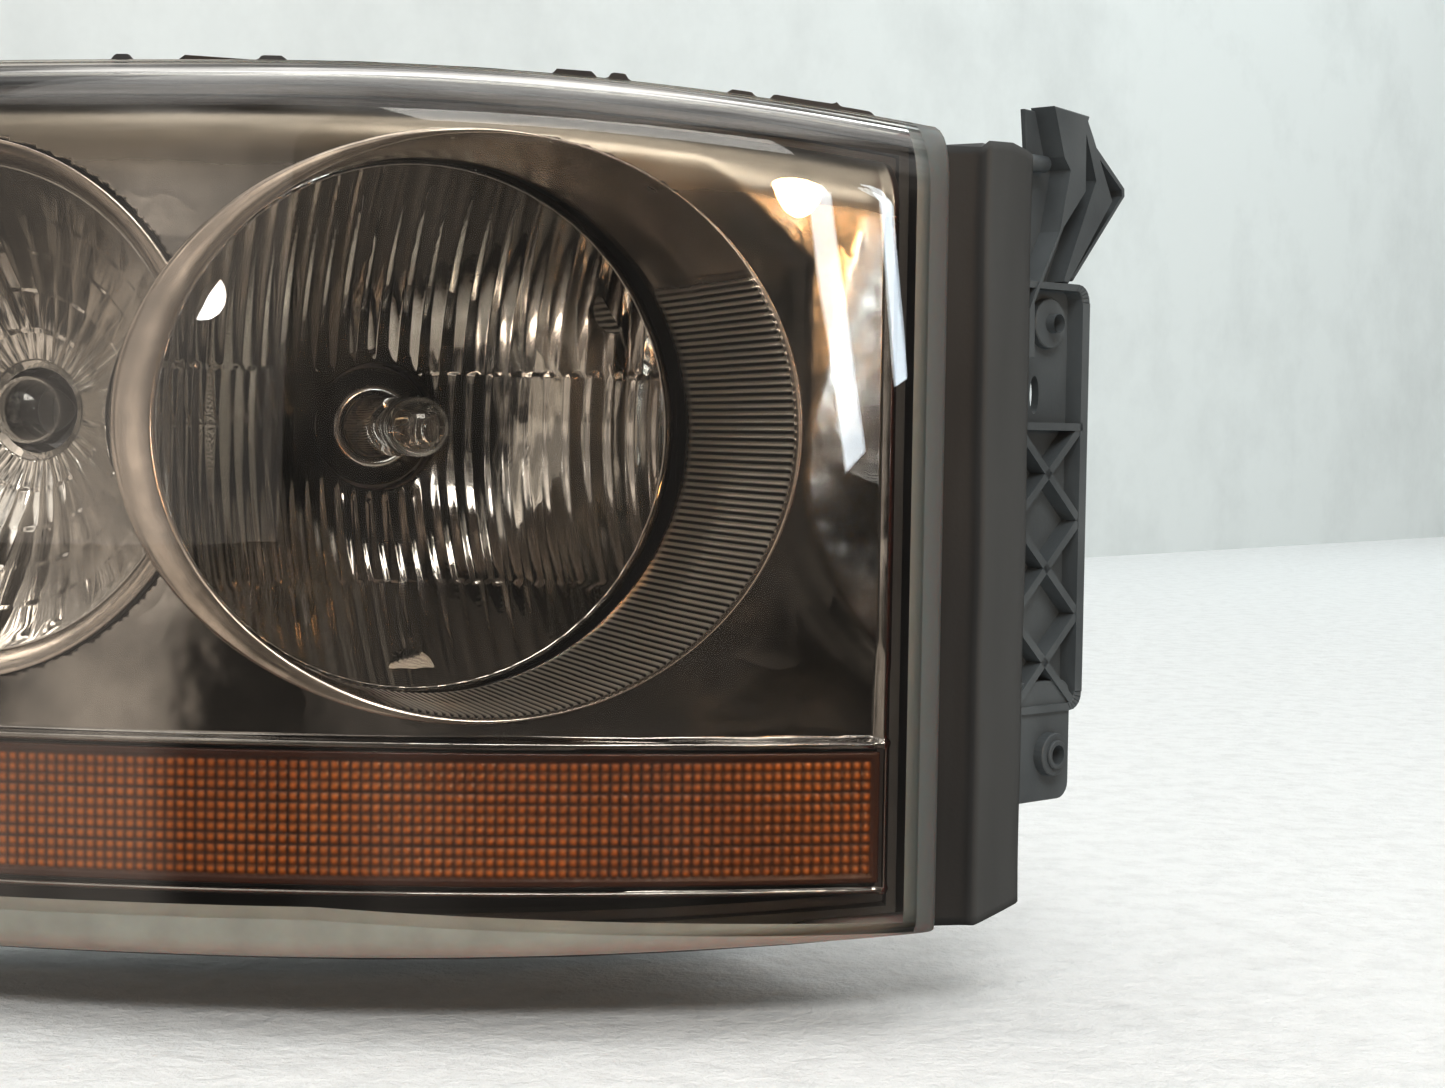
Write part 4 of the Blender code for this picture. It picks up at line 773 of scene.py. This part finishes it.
BOWL_METAL = bright_metal("bowl_metal", (0.60, 0.575, 0.545), 0.045)


def flutes(x, z):
    """Relief of upright flutes: rounded steps across x, of another pitch in each band."""
    relief = 0 * x
    for low, high, pitch, tall, phase, lean in (
            (0.016, 0.09, 0.0062, 0.00042, 0.0, 0.05), (-0.045, 0.016, 0.0049, 0.00048, 0.4, 0.0),
            (-0.09, -0.045, 0.0057, 0.00040, 0.2, -0.06)):
        inside = (z >= low) & (z < high)
        place = (x + lean * z) / pitch + phase
        part = place - np.floor(place)
        tilt = 0.35 * np.sin(np.floor(place) * 2.4)
        wave = 4 * part * (1 - part) + tilt * (part - 0.5)
        relief = np.where(inside, tall * wave + 0.00025 * (low + high > 0), relief)
    return relief


def bowl_liner():
    """Parabola less the flutes' relief, on rings from the neck to the rim, 0.4 mm thick."""
    around = np.linspace(0.0, 2 * math.pi, 420, endpoint=False)[:, None]
    r = np.linspace(NECK_R, BOWL_R - 0.0006, 110)[None, :]
    x, z = r * np.cos(around), r * np.sin(around)
    edge = np.clip((r - NECK_R) / 0.004, 0, 1)
    y = BOWL_APEX_Y - r * r / (4 * BOWL_FOCUS) - 0.0006 - flutes(x, z) * edge
    rear = BOWL_APEX_Y - r * r / (4 * BOWL_FOCUS) - 0.00025 + 0 * x
    front_points = np.stack([x, y, z + BEAM_Z], axis=-1)
    rear_points = np.stack([x, rear, z + BEAM_Z], axis=-1)[:, ::-1]
    points = np.concatenate([front_points, rear_points], axis=1)
    return ride_as(hoop("fluted_bowl_face", points, BOWL_METAL), "reflector", [])


bowl_liner()

# ---------------------------------------------------------------- outboard bowl
# Turn and parking bowl, leaning outboard. Its face is made of rings of small tilted
# facets. It is cut away where the main barrel passes.
OUT_FOCUS, OUT_NECK_R = 0.024, 0.012


def outboard_face():
    """Parabola broken into facets: each cell of ring and sector is tipped both ways."""
    around = np.linspace(0.0, 2 * math.pi, 480, endpoint=False)[:, None]
    r = np.linspace(OUT_NECK_R + 0.002, OUT_R - 0.0008, 90)[None, :]
    depth = (OUT_R ** 2 - r ** 2) / (4 * OUT_FOCUS)
    sector = around / (2 * math.pi) * 40
    ring = (r - OUT_NECK_R) / 0.0105 + 0 * around
    u = sector - np.floor(sector)
    v = ring - np.floor(ring)
    tip = np.sin(np.floor(sector) * 2.1 + np.floor(ring) * 1.3)
    calm = np.clip((OUT_R - 0.001 - r) / 0.004, 0.0, 1.0)
    relief = (0.00075 * 4 * u * (1 - u) * (r / OUT_R) + 0.0005 * tip * (v - 0.5)) * calm
    ahead = depth - 0.0009 - relief

    def placed(h):
        """Carry bowl coordinates onto its leaning axis."""
        side, up = r * np.cos(around), r * np.sin(around)
        start = outboard_spot(0.0)
        x = start.x + side * math.cos(OUT_TURN) + h * math.sin(OUT_TURN)
        y = start.y - side * math.sin(OUT_TURN) + h * math.cos(OUT_TURN)
        return np.stack([x, y, start.z + up + 0 * h], axis=-1)

    points = np.concatenate([placed(ahead), placed(depth - 0.0003)[:, ::-1]], axis=1)
    face = hoop("faceted_bowl_face", points, BOWL_METAL)
    carve(face, "faceted_bowl_face",
          [drum(BARREL_R + BARREL_WALL + 0.0025, Vector((0.0, -0.2, BEAM_Z)), 0.0)])
    return ride_as(face, "housing", [])


outboard_face()


def outboard_lip():
    """Rounded lip from the panel, whose height falls as reach squared, in to the rim."""
    around = np.linspace(0.0, 2 * math.pi, 240, endpoint=False)[:, None]
    share = np.array([0.0, 0.06, 0.2, 0.4, 0.6, 0.8, 1.0, 1.0, 0.0])[None, :]
    under = np.array([0.0] * 7 + [0.0012, 0.0014])[None, :]
    r = OUT_R - 0.0006 + LIP_WIDE * (1.0 - share)
    panel = -(OUT_RIM_BACK - BEZEL_BACK) + (r * np.cos(around)) ** 2 / (2 * (SWEEP_R - BEZEL_BACK))
    h = panel * (1.0 - share ** 2) + under - 0.0004 * (share < 0.1)
    side, up = r * np.cos(around), r * np.sin(around)
    start = outboard_spot(0.0)
    x = start.x + side * math.cos(OUT_TURN) + h * math.sin(OUT_TURN)
    y = start.y - side * math.sin(OUT_TURN) + h * math.cos(OUT_TURN)
    lip = hoop("outboard_bowl_lip", np.stack([x, y, start.z + up + 0 * h], axis=-1),
               RING_CHROME)
    carve(lip, "outboard_bowl_lip",
          [drum(RING_WIDE + BARREL_WALL + 0.0010, Vector((0.0, -0.2, BEAM_Z)), 0.0)])
    return ride_as(lip, "housing", [])


outboard_lip()

# ---------------------------------------------------------------- amber strip
# Diffuser of amber plastic in the bezel's window. Its face is a field of square pillows,
# eleven rows high, inside a plain border.
AMBER_BACK, AMBER_THICK = 0.014, 0.0025
PILLOW_ROWS = 11
BORDER = 0.0022
PILLOW = (AMBER_HIGH - AMBER_LOW - 2 * BORDER) / PILLOW_ROWS
PILLOW_TALL = 0.0008


def amber_plastic():
    """Deep amber in random blotches, painted near black as shade in the grooves and border, so the
    crowns show as painted highlights.
    """
    made, tree, shader, where = blank("amber_plastic_face")
    crown = tree.nodes.new("ShaderNodeAttribute")
    crown.attribute_name = "crown"
    sharp = tree.nodes.new("ShaderNodeMath")
    sharp.operation = "POWER"
    sharp.inputs[1].default_value = 2.2
    tree.links.new(crown.outputs["Fac"], sharp.inputs[0])
    blotch = noise(tree, where, 16.0, 5.0)
    bright = two_colours(tree, spread(tree, blotch, 0.35, 0.65, 0.0, 1.0),
                         (0.19, 0.050, 0.006), (0.36, 0.105, 0.009))
    # Grooves and border painted near black as shade; toward the crowns the amber shows as a painted
    # highlight.
    blend = tree.nodes.new("ShaderNodeMix")
    blend.data_type = "RGBA"
    blend.inputs["A"].default_value = (0.030, 0.007, 0.002, 1.0)
    tree.links.new(sharp.outputs[0], blend.inputs["Factor"])
    tree.links.new(bright, blend.inputs["B"])
    tree.links.new(blend.outputs["Result"], shader.inputs["Base Color"])
    shader.inputs["Roughness"].default_value = 0.30
    return made


def amber_strip():
    """Face of pillows: each cell rises as the product of two rounded arches."""
    columns = int(round((AMBER_TO - AMBER_FROM - 2 * BORDER) / PILLOW))
    wide = (AMBER_TO - AMBER_FROM - 2 * BORDER) / columns
    s = np.linspace(AMBER_FROM, AMBER_TO, columns * 6 + 7)[:, None]
    z = np.linspace(AMBER_LOW, AMBER_HIGH, PILLOW_ROWS * 5 + 6)[None, :]
    a = (s - AMBER_FROM - BORDER) / wide
    b = (z - AMBER_LOW - BORDER) / PILLOW
    field = (a > 0) & (a < columns) & (b > 0) & (b < PILLOW_ROWS)
    arch = (4 * (a % 1) * (1 - a % 1)) ** 0.6 * (4 * (b % 1) * (1 - b % 1)) ** 0.6
    relief = np.where(field, PILLOW_TALL * (arch - 1.0), 0.0)
    x, y = sweep(s + 0 * z, AMBER_BACK - relief)
    front = np.stack([x, y, z + 0 * s + BEAM_Z], axis=-1)
    x, y = sweep(s + 0 * z, AMBER_BACK + AMBER_THICK)
    rear = np.stack([x, y, z + 0 * s + BEAM_Z], axis=-1)
    strip = shell("amber_pillow_strip", front, rear, amber_plastic())
    # The crown value drives the painted groove shade and crown highlight.
    crown = strip.data.attributes.new("crown", "FLOAT", "POINT")
    value = np.where(field, arch, 0.10 + 0 * arch)
    crown.data.foreach_set("value", np.tile(value.ravel(), 2).astype(np.float32))
    return ride_as(strip, "housing", ["amber_insert"])


amber_strip()

# ---------------------------------------------------------------- bulbs
# Blown quartz tubes with domed tips, open at the base, where the CAD bulbs' bases hold
# them. The main one stands in a stepped collar of plated steel.


def clear_quartz():
    """Clear quartz with a faint smoky film."""
    made, tree, shader, where = blank("clear_quartz")
    shader.inputs["Transmission Weight"].default_value = 1.0
    shader.inputs["IOR"].default_value = 1.46
    shader.inputs["Base Color"].default_value = (0.97, 0.97, 0.96, 1.0)
    tree.links.new(spread(tree, noise(tree, where, 120.0, 4.0), 0.4, 0.8, 0.0, 0.05),
                   shader.inputs["Roughness"])
    return made


QUARTZ = clear_quartz()


def turned_piece(name, profile, finish, spot, turn, steps=64):
    """A profile of (radius, height) spun about an axis that runs to the rear."""
    angle = np.linspace(0.0, 2 * math.pi, steps, endpoint=False)[:, None]
    r = np.array([p[0] for p in profile])[None, :]
    h = np.array([p[1] for p in profile])[None, :]
    side, up = r * np.cos(angle), r * np.sin(angle)
    x = spot[0] + side * math.cos(turn) + h * math.sin(turn)
    y = spot[1] - side * math.sin(turn) + h * math.cos(turn)
    points = np.stack([x, y, spot[2] + up + 0 * h], axis=-1)
    closed = profile[0][0] > 0 and profile[-1][0] > 0
    return hoop(name, points, finish, closed_section=closed)


def bulb_glass(name, node, body, radius, wall, tip, base, spot, turn):
    """Tube with a half-round tip: outside, then the bore back to the base."""
    a = np.linspace(0.0, math.pi / 2, 14)
    outside = [(radius, base), (radius, tip + radius)]
    outside += [(radius * math.cos(t), tip + radius - radius * math.sin(t)) for t in a[1:-1]]
    outside += [(0.0, tip)]
    bore = radius - wall
    inside = [(bore * math.cos(t), tip + radius - bore * math.sin(t)) for t in a[:-1]]
    inside = [(0.0, tip + wall)] + inside[::-1] + [(bore, base)]
    glass = turned_piece(name, inside + outside, QUARTZ, spot, turn)
    glass.visible_shadow = False
    return ride_as(glass, body, [node])


MAIN_AXIS = (0.0, 0.0, BEAM_Z)
BULB_BASE_Y = BOWL_APEX_Y + 0.007 - 0.0015 + 0.006 - 0.0003
bulb_glass("main_bulb_quartz", "main_bulb_glass", "main_bulb", 0.0085, 0.001,
           BOWL_RIM_Y - 0.007, BULB_BASE_Y, MAIN_AXIS, 0.0)
ride_as(turned_piece("main_bulb_collar", [
    (0.0092, BOWL_APEX_Y + 0.0046), (0.0092, BOWL_APEX_Y + 0.0010), (0.0100, BOWL_APEX_Y + 0.0002),
    (0.0128, BOWL_APEX_Y + 0.0006), (0.0134, BOWL_APEX_Y + 0.0022), (0.0168, BOWL_APEX_Y + 0.0028),
    (0.0176, BOWL_APEX_Y + 0.0036), (0.0176, BOWL_APEX_Y + 0.0046)], BOWL_METAL, MAIN_AXIS, 0.0),
    "main_bulb", [])
SOCKET_REACH = 0.050
turn_seat = outboard_spot(0.1125)
bulb_glass("turn_bulb_quartz", "turn_bulb", "turn_lamp", 0.0095, 0.0008,
           -SOCKET_REACH + 0.011 - 0.045, -SOCKET_REACH + 0.011, turn_seat, OUT_TURN)
bulb_glass("marker_bulb_quartz", "marker_bulb", "marker_lamp", 0.0050, 0.0008,
           0.066 - SOCKET_REACH + 0.011 - 0.040, 0.066 - SOCKET_REACH + 0.011,
           (-0.150, 0.0, BEAM_Z - 0.102), 0.0)

# ---------------------------------------------------------------- side seal
# Extruded rubber strip down the inboard edge: a sunk outer lip, a rounded ridge, and a flat
# panel that bends back. Its foot is cut on the slant and its top is notched.
SEAL_LOW, SEAL_HIGH = -0.1345, 0.080


def worn_rubber():
    """Black rubber with grey bloom in streaks along it, lighter grey across the flat panel by x
    position.
    """
    made, tree, shader, where = blank("worn_rubber")
    split = tree.nodes.new("ShaderNodeSeparateXYZ")
    tree.links.new(where.outputs["Object"], split.inputs[0])
    # Lighter grey by x position across the flat panel.
    panel = spread(tree, split.outputs[0], 0.1355, 0.1385, 0.0, 0.75)
    streak = noise(tree, where, 30.0, 5.0, (1.0, 1.0, 0.12))
    cloud = spread(tree, streak, 0.3, 0.75, -0.15, 0.35)
    total = tree.nodes.new("ShaderNodeMath")
    total.operation = "ADD"
    tree.links.new(panel, total.inputs[0])
    tree.links.new(cloud, total.inputs[1])
    tree.links.new(two_colours(tree, total.outputs[0], (0.018, 0.019, 0.020),
                               (0.090, 0.096, 0.098)), shader.inputs["Base Color"])
    shader.inputs["Roughness"].default_value = 0.52
    raised(tree, shader, noise(tree, where, 700.0, 3.0), 0.00012, 0.5)
    return made


def side_seal():
    """One section of eased corners carried up the strip, its ends set by x."""
    section = np.array([
        (0.1222, -0.1060), (0.1222, -0.1205), (0.1226, -0.1218), (0.1236, -0.1224),
        (0.1290, -0.1232), (0.1335, -0.1240), (0.1356, -0.1247), (0.1364, -0.1254),
        (0.1372, -0.1259), (0.1384, -0.1260), (0.1400, -0.1258), (0.1450, -0.1250),
        (0.1495, -0.1241), (0.1515, -0.1236), (0.1526, -0.1226), (0.1530, -0.1212),
        (0.1530, -0.1132), (0.1502, -0.1132), (0.1500, -0.1195), (0.1380, -0.1205),
        (0.1284, -0.1180), (0.1282, -0.1060)])
    x, y = section[:, 0][None, :], section[:, 1][None, :]
    part = np.linspace(0.0, 1.0, 90)[:, None]
    slant = 0.0055 * np.clip((x - 0.137) / 0.016, 0.0, 1.0)
    notch = 0.0016 * np.clip((x - 0.1362) / 0.0004, 0.0, 1.0)
    fall = 0.0030 * np.clip((x - 0.146) / 0.007, 0.0, 1.0)
    low = SEAL_LOW + slant
    high = SEAL_HIGH - 0.0016 + notch - fall
    z = low + (high - low) * part
    sway = 0.0003 * np.sin(part * 9.0) + 0.0002 * np.sin(part * 23.0)
    points = np.stack([x + 0 * z, y + sway, z + BEAM_Z], axis=-1)
    n, m = points.shape[:2]
    index = np.arange(n * m).reshape(n, m)
    nxt = np.roll(index, -1, axis=1)
    faces = np.stack([index[:-1], nxt[:-1], nxt[1:], index[1:]], axis=-1).reshape(-1, 4)
    data = bpy.data.meshes.new("side_seal_strip")
    data.from_pydata(points.reshape(-1, 3), [],
                     faces.tolist() + [index[0, ::-1].tolist(), index[-1].tolist()])
    data.materials.append(worn_rubber())
    strip = smooth_piece("side_seal_strip", data)
    for face in strip.data.polygons:
        face.use_smooth = len(face.vertices) == 4
    return ride_as(strip, "housing", ["side_seal"])


side_seal()

# ---------------------------------------------------------------- inboard bracket
# Ribbed bracket of black plastic: a walled plate with crossed ribs, two bosses and a slot,
# a lower ear, and a folded arm of three thin walls on a web that carries a locating peg.
# Moulded in glass-filled plastic with a fine grain, gone grey with dust, and screwed on.


def dusty_plastic(name, colour, dusty, rough):
    """Moulded plastic: grey dust in clouds, fine grain in relief."""
    made, tree, shader, where = blank(name)
    cloud = noise(tree, where, 26.0, 6.0)
    tree.links.new(two_colours(tree, spread(tree, cloud, 0.35, 0.75, 0.0, 1.0), colour,
                               dusty), shader.inputs["Base Color"])
    tree.links.new(spread(tree, cloud, 0.3, 0.7, rough, rough + 0.15),
                   shader.inputs["Roughness"])
    raised(tree, shader, noise(tree, where, 900.0, 3.0), 0.00010, 0.5)
    return made


BRACKET_TURN = math.radians(24.0)
BRACKET_SPOT = Vector((0.1480, -0.1140, BEAM_Z))
BRACKET_FINISH = dusty_plastic("bracket_plastic", (0.085, 0.098, 0.106),
                               (0.150, 0.170, 0.180), 0.40)


def bracket_block(outline, near, far):
    """An outline in millimetres run between two depths, its front edge eased by 0.3 mm."""
    flat = np.array(outline) / 1000.0
    middle = flat.mean(axis=0)
    pull = flat - middle
    pull = pull / np.maximum(np.hypot(pull[:, :1], pull[:, 1:]), 1e-6) * 0.0003
    rings = [(flat - pull, near), (flat, near + 0.0003), (flat, far)]
    n = len(flat)
    points = np.concatenate([np.stack([ring[:, 0], np.full(n, y), ring[:, 1]], axis=-1)
                             for ring, y in rings])
    index = np.arange(3 * n).reshape(3, n)
    after = np.roll(index, -1, axis=1)
    sides = np.stack([index[:-1], after[:-1], after[1:], index[1:]], axis=-1).reshape(-1, 4)
    return points, [index[0].tolist(), index[2].tolist()] + sides.tolist()


def rounded_box(x0, x1, z0, z1, radius, steps=6):
    """A rectangle in millimetres with quarter-circle corners."""
    turn = np.linspace(0.0, math.pi / 2, steps)
    points = []
    for cx, cz, start in ((x1 - radius, z1 - radius, 0.0), (x0 + radius, z1 - radius, 0.5),
                          (x0 + radius, z0 + radius, 1.0), (x1 - radius, z0 + radius, 1.5)):
        points += [(cx + radius * math.cos(t + start * math.pi),
                    cz + radius * math.sin(t + start * math.pi)) for t in turn]
    return points


def rib(start, end, wide):
    """A straight rib between two points, as four corners square to its run."""
    run = Vector(end) - Vector(start)
    across = Vector((-run.y, run.x)).normalized() * (wide / 2)
    first, last = Vector(start), Vector(end)
    return [tuple(first + across), tuple(first - across), tuple(last - across),
            tuple(last + across)]


def round_pad(x, z, radius):
    """A circle in millimetres, as a box that is all corners."""
    return rounded_box(x - radius, x + radius, z - radius, z + radius, radius, 8)


def frame_sides(outer, inner):
    """A wall between two outlines of equal count, as one block for each side."""
    pairs = zip(outer, outer[1:] + outer[:1], inner, inner[1:] + inner[:1])
    return [[a, b, d, c] for a, b, c, d in pairs]


def add_feet(data):
    """The foot behind the seal and the three ears that take the screws, square to the lamp."""
    boxes = [((0.1193, -0.1035, -0.095), (0.1500, -0.0985, 0.038))]
    boxes += [((0.1193, -0.1015, z - 0.008), (0.1223, -0.0825, z + 0.008))
              for z in (0.030, -0.030, -0.085)]
    work = bmesh.new()
    work.from_mesh(data)
    for low, high in boxes:
        middle = (Vector(low) + Vector(high)) / 2 + Vector((0.0, 0.0, BEAM_Z))
        size = Vector(high) - Vector(low)
        made = bmesh.ops.create_cube(work, size=1.0)["verts"]
        bmesh.ops.scale(work, vec=size, verts=made)
        bmesh.ops.translate(work, vec=middle, verts=made)
    work.to_mesh(data)
    work.free()


def inboard_bracket():
    """All blocks in the bracket's own axes, then turned 24 degrees and set beside the seal."""
    outer = rounded_box(6.5, 42.0, -79.0, 44.0, 5.0)
    inner = rounded_box(9.0, 38.6, -76.8, 42.0, 3.0)
    blocks = [(outer, 0.0055, 0.0080), (rounded_box(8.5, 37.5, -104.5, -70.0, 4.5), 0.001, 0.0045)]
    blocks += [(side, 0.0, 0.0065) for side in frame_sides(outer, inner)]
    blocks += [(rib((8.0, 3.0), (40.0, 3.0), 2.2), 0.0, 0.0065),
               (rounded_box(6.5, 10.5, -78.0, 39.0, 0.5), 0.0020, 0.0170)]
    for low in (-78.0, -51.0, -24.0):
        blocks += [(rib((9.0, low), (39.5, low + 27.0), 2.4), 0.0002, 0.0065),
                   (rib((39.5, low), (9.0, low + 27.0), 2.4), 0.0002, 0.0065)]
        blocks += [(round_pad(33.5, low + 13.5, 3.2), 0.0052, 0.0060)]
    blocks += [(round_pad(27.5, 32.5, 7.2), 0.0030, 0.0060),
               (round_pad(27.5, 32.5, 5.0), 0.0, 0.0060),
               (round_pad(27.0, -91.0, 6.2), -0.0022, 0.0030),
               (round_pad(27.0, -91.0, 4.2), -0.0032, 0.003)]
    blocks += [([(18.3, 93.0), (39.1, 92.4), (43.8, 85.4), (60.2, 73.0), (59.8, 71.0),
                 (36.1, 45.3), (25.0, 22.4), (10.0, 22.0), (8.9, 54.8), (20.8, 70.7)],
                0.0068, 0.0085),
               ([(22.5, 93.7), (39.1, 92.4), (37.8, 89.9), (38.2, 71.0), (27.9, 59.6),
                 (14.9, 37.6), (15.4, 22.1), (10.0, 21.9), (9.8, 29.9), (15.2, 40.7),
                 (26.3, 58.5), (30.7, 76.5), (27.6, 79.8)], -0.0005, 0.0080),
               ([(39.1, 92.4), (42.4, 87.3), (52.8, 69.1), (32.0, 44.0), (29.7, 44.5),
                 (44.6, 74.6), (38.1, 90.0)], 0.0005, 0.0080),
               ([(42.4, 87.3), (60.7, 73.6), (60.9, 71.3), (36.1, 45.0), (35.2, 45.8),
                 (59.6, 71.3), (59.4, 73.0), (43.8, 84.2)], 0.0020, 0.0085)]
    places, faces, count = [], [], 0
    for outline, near, far in blocks:
        points, sides = bracket_block(outline, near, far)
        places.append(points)
        faces += [[i + count for i in face] for face in sides]
        count += len(points)
    points = np.concatenate(places)
    turn = Matrix.Translation(BRACKET_SPOT) @ Matrix.Rotation(BRACKET_TURN, 4, "Z")
    data = bpy.data.meshes.new("ribbed_bracket")
    data.from_pydata(points, [], faces)
    data.transform(turn)
    data.materials.append(BRACKET_FINISH)
    add_feet(data)
    body = smooth_piece("ribbed_bracket", data, smooth=False)
    holes = []
    for x, z, radius in ((0.0275, 0.0325, 0.0026), (0.0270, -0.0910, 0.0028)):
        start = turn @ Vector((x, -0.008, z))
        holes.append(drum(radius, start, -BRACKET_TURN, sides=28, length=0.03))
    holes.append(drum(0.0021, turn @ Vector((0.0235, -0.008, 0.0120)), -BRACKET_TURN, sides=24,
                      length=0.03, tall=2.6))
    carve(body, "ribbed_bracket", holes)
    return ride_as(body, "housing", ["inboard_bracket"])


inboard_bracket()


def bracket_peg():
    """Stub that locates the arm: a half-round end on a short shank."""
    a = np.linspace(0.0, math.pi / 2, 8)
    profile = [(0.0, 0.0)] + [(0.0024 * math.sin(t), 0.0012 - 0.0012 * math.cos(t))
                              for t in a[1:]] + [(0.0024, 0.0085), (0.0, 0.0085)]
    peg = turned_piece("bracket_peg", profile, BRACKET_FINISH, (0.0, 0.0, 0.0), 0.0, 32)
    peg.data.transform(Matrix.Translation(BRACKET_SPOT)
                       @ Matrix.Rotation(BRACKET_TURN, 4, "Z")
                       @ Matrix.Translation((0.0150, 0.0035, 0.0775))
                       @ Matrix.Rotation(-math.pi / 2, 4, "Z"))
    return ride_as(peg, "housing", [])


bracket_peg()

# ---------------------------------------------------------------- rim clips
# Irregular clips of the housing's rim, which show above the lens. Moulded in one with the
# housing, in the same black plastic.
HOUSING_PLASTIC = dusty_plastic("housing_plastic", (0.030, 0.030, 0.032),
                                (0.075, 0.076, 0.078), 0.42)


def rim_clips():
    """A low wall along the rim whose height is the sum of the clips' sloped steps."""
    s = np.linspace(0.004, 0.330, 420)[:, None]
    tall = 0.0002 * np.sin(s * 90.0) ** 2
    for place, half, height in ((0.020, 0.006, 0.0010), (0.034, 0.010, 0.0014),
                                (0.052, 0.004, 0.0010), (0.086, 0.003, 0.0016),
                                (0.098, 0.006, 0.0014), (0.180, 0.004, 0.0012),
                                (0.222, 0.003, 0.0014), (0.280, 0.008, 0.0012)):
        tall = tall + height * np.clip((half - np.abs(s - place)) / 0.0012, 0.0, 1.0)
    low = lens_top(s) + 0.0005
    section_z = np.concatenate([low, low + 0.0031 + tall, low + 0.0031 + tall, low], axis=1)
    x, y = sweep(s + 0 * section_z, np.array([0.0219, 0.0219, 0.0236, 0.0236])[None, :])
    points = np.stack([x, y, section_z + BEAM_Z], axis=-1)
    n, m = points.shape[:2]
    index = np.arange(n * m).reshape(n, m)
    after = np.roll(index, -1, axis=1)
    sides = np.stack([index[:-1], after[:-1], after[1:], index[1:]], axis=-1).reshape(-1, 4)
    data = bpy.data.meshes.new("housing_rim_clips")
    data.from_pydata(points.reshape(-1, 3), [],
                     sides.tolist() + [index[0].tolist(), index[-1].tolist()])
    data.materials.append(HOUSING_PLASTIC)
    return ride_as(smooth_piece("housing_rim_clips", data, smooth=False), "housing", [])


rim_clips()

# ---------------------------------------------------------------- rubber boot
# Bellows of thin moulded rubber that keeps water out round the main bulb. Its sleeve grips
# the bowl's neck and its rolled edge snaps over the housing's collar.
BOOT_WALL = 0.0012
boot_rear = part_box("rubber_boot")[1][1] - 0.0015
boot_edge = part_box("rubber_boot")[1][0] - BOOT_WALL / 2
BOOT_SLEEVE_FROM, BOOT_SLEEVE_TO, BOOT_SLEEVE_R = 0.0128, 0.0250, 0.0249


def boot_bellows():
    """A centre line of sleeve, three waves and rolled edge, given its wall along normals."""
    t = np.linspace(0.0, 1.0, 37)
    wave_y = BOOT_SLEEVE_TO + (boot_rear - 0.0080 - BOOT_SLEEVE_TO) * t
    wave_r = BOOT_SLEEVE_R + 0.0010 * (1 - np.cos(6 * math.pi * t)) / 2 + 0.0014 * t
    line = np.concatenate([
        [[BOOT_SLEEVE_R, BOOT_SLEEVE_FROM]], np.stack([wave_r, wave_y], axis=1),
        [[0.0270, boot_rear - 0.0030], [0.0284, boot_rear - 0.0005], [0.0300, boot_rear],
         [boot_edge - 0.0012, boot_rear], [boot_edge - 0.0003, boot_rear - 0.0004],
         [boot_edge, boot_rear - 0.0014], [boot_edge, boot_rear - 0.0066]]])
    along = np.gradient(line, axis=0)
    along /= np.linalg.norm(along, axis=1, keepdims=True)
    normal = np.stack([along[:, 1], -along[:, 0]], axis=1) * BOOT_WALL / 2
    profile = np.concatenate([line + normal, (line - normal)[::-1]]).tolist()
    boot = turned_piece("boot_bellows", profile, worn_rubber(), MAIN_AXIS, 0.0)
    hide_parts("rubber_boot")
    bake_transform(boot)


boot_bellows()


# ---------------------------------------------------------------- housing, sockets and fixings
# The pieces whose CAD shape stays: housing, amber tray, sockets, gaskets, aiming screw,
# terminals and screws, in moulded plastic, rubber, nylon and plated metal.
def plated_steel(name, colour, rough):
    """Zinc plate: mottled, slightly brushed."""
    made, tree, shader, where = blank(name)
    shader.inputs["Metallic"].default_value = 1.0
    mottle = noise(tree, where, 300.0, 4.0)
    tree.links.new(two_colours(tree, mottle, colour, tuple(c * 0.7 for c in colour)),
                   shader.inputs["Base Color"])
    tree.links.new(spread(tree, mottle, 0.3, 0.7, rough, rough + 0.15),
                   shader.inputs["Roughness"])
    return made


FINISHES = {
    "black_plastic": HOUSING_PLASTIC,
    "black_rubber": dusty_plastic("boot_rubber", (0.022, 0.022, 0.023),
                                  (0.050, 0.050, 0.050), 0.60),
    "grey_sealant": dusty_plastic("sealant", (0.07, 0.07, 0.07), (0.12, 0.12, 0.115), 0.70),
    "grey_plastic": dusty_plastic("grey_nylon", (0.22, 0.22, 0.23), (0.33, 0.33, 0.33), 0.45),
    "white_nylon": dusty_plastic("natural_nylon", (0.70, 0.69, 0.63), (0.80, 0.79, 0.74),
                                 0.40),
    "zinc_steel": plated_steel("zinc_plate", (0.68, 0.67, 0.63), 0.25),
    "tinned_brass": plated_steel("tin_plate", (0.72, 0.66, 0.48), 0.22),
    "bright_reflector": BOWL_METAL,
    "smoked_chrome": RING_CHROME,
    "bulb_glass": QUARTZ,
}
for part in frame["record"]["subparts"]:
    node = frame["nodes"][part["node"]]
    slot = part.get("material_slot")
    if slot in FINISHES:
        node.data.materials.clear()
        node.data.materials.append(FINISHES[slot])
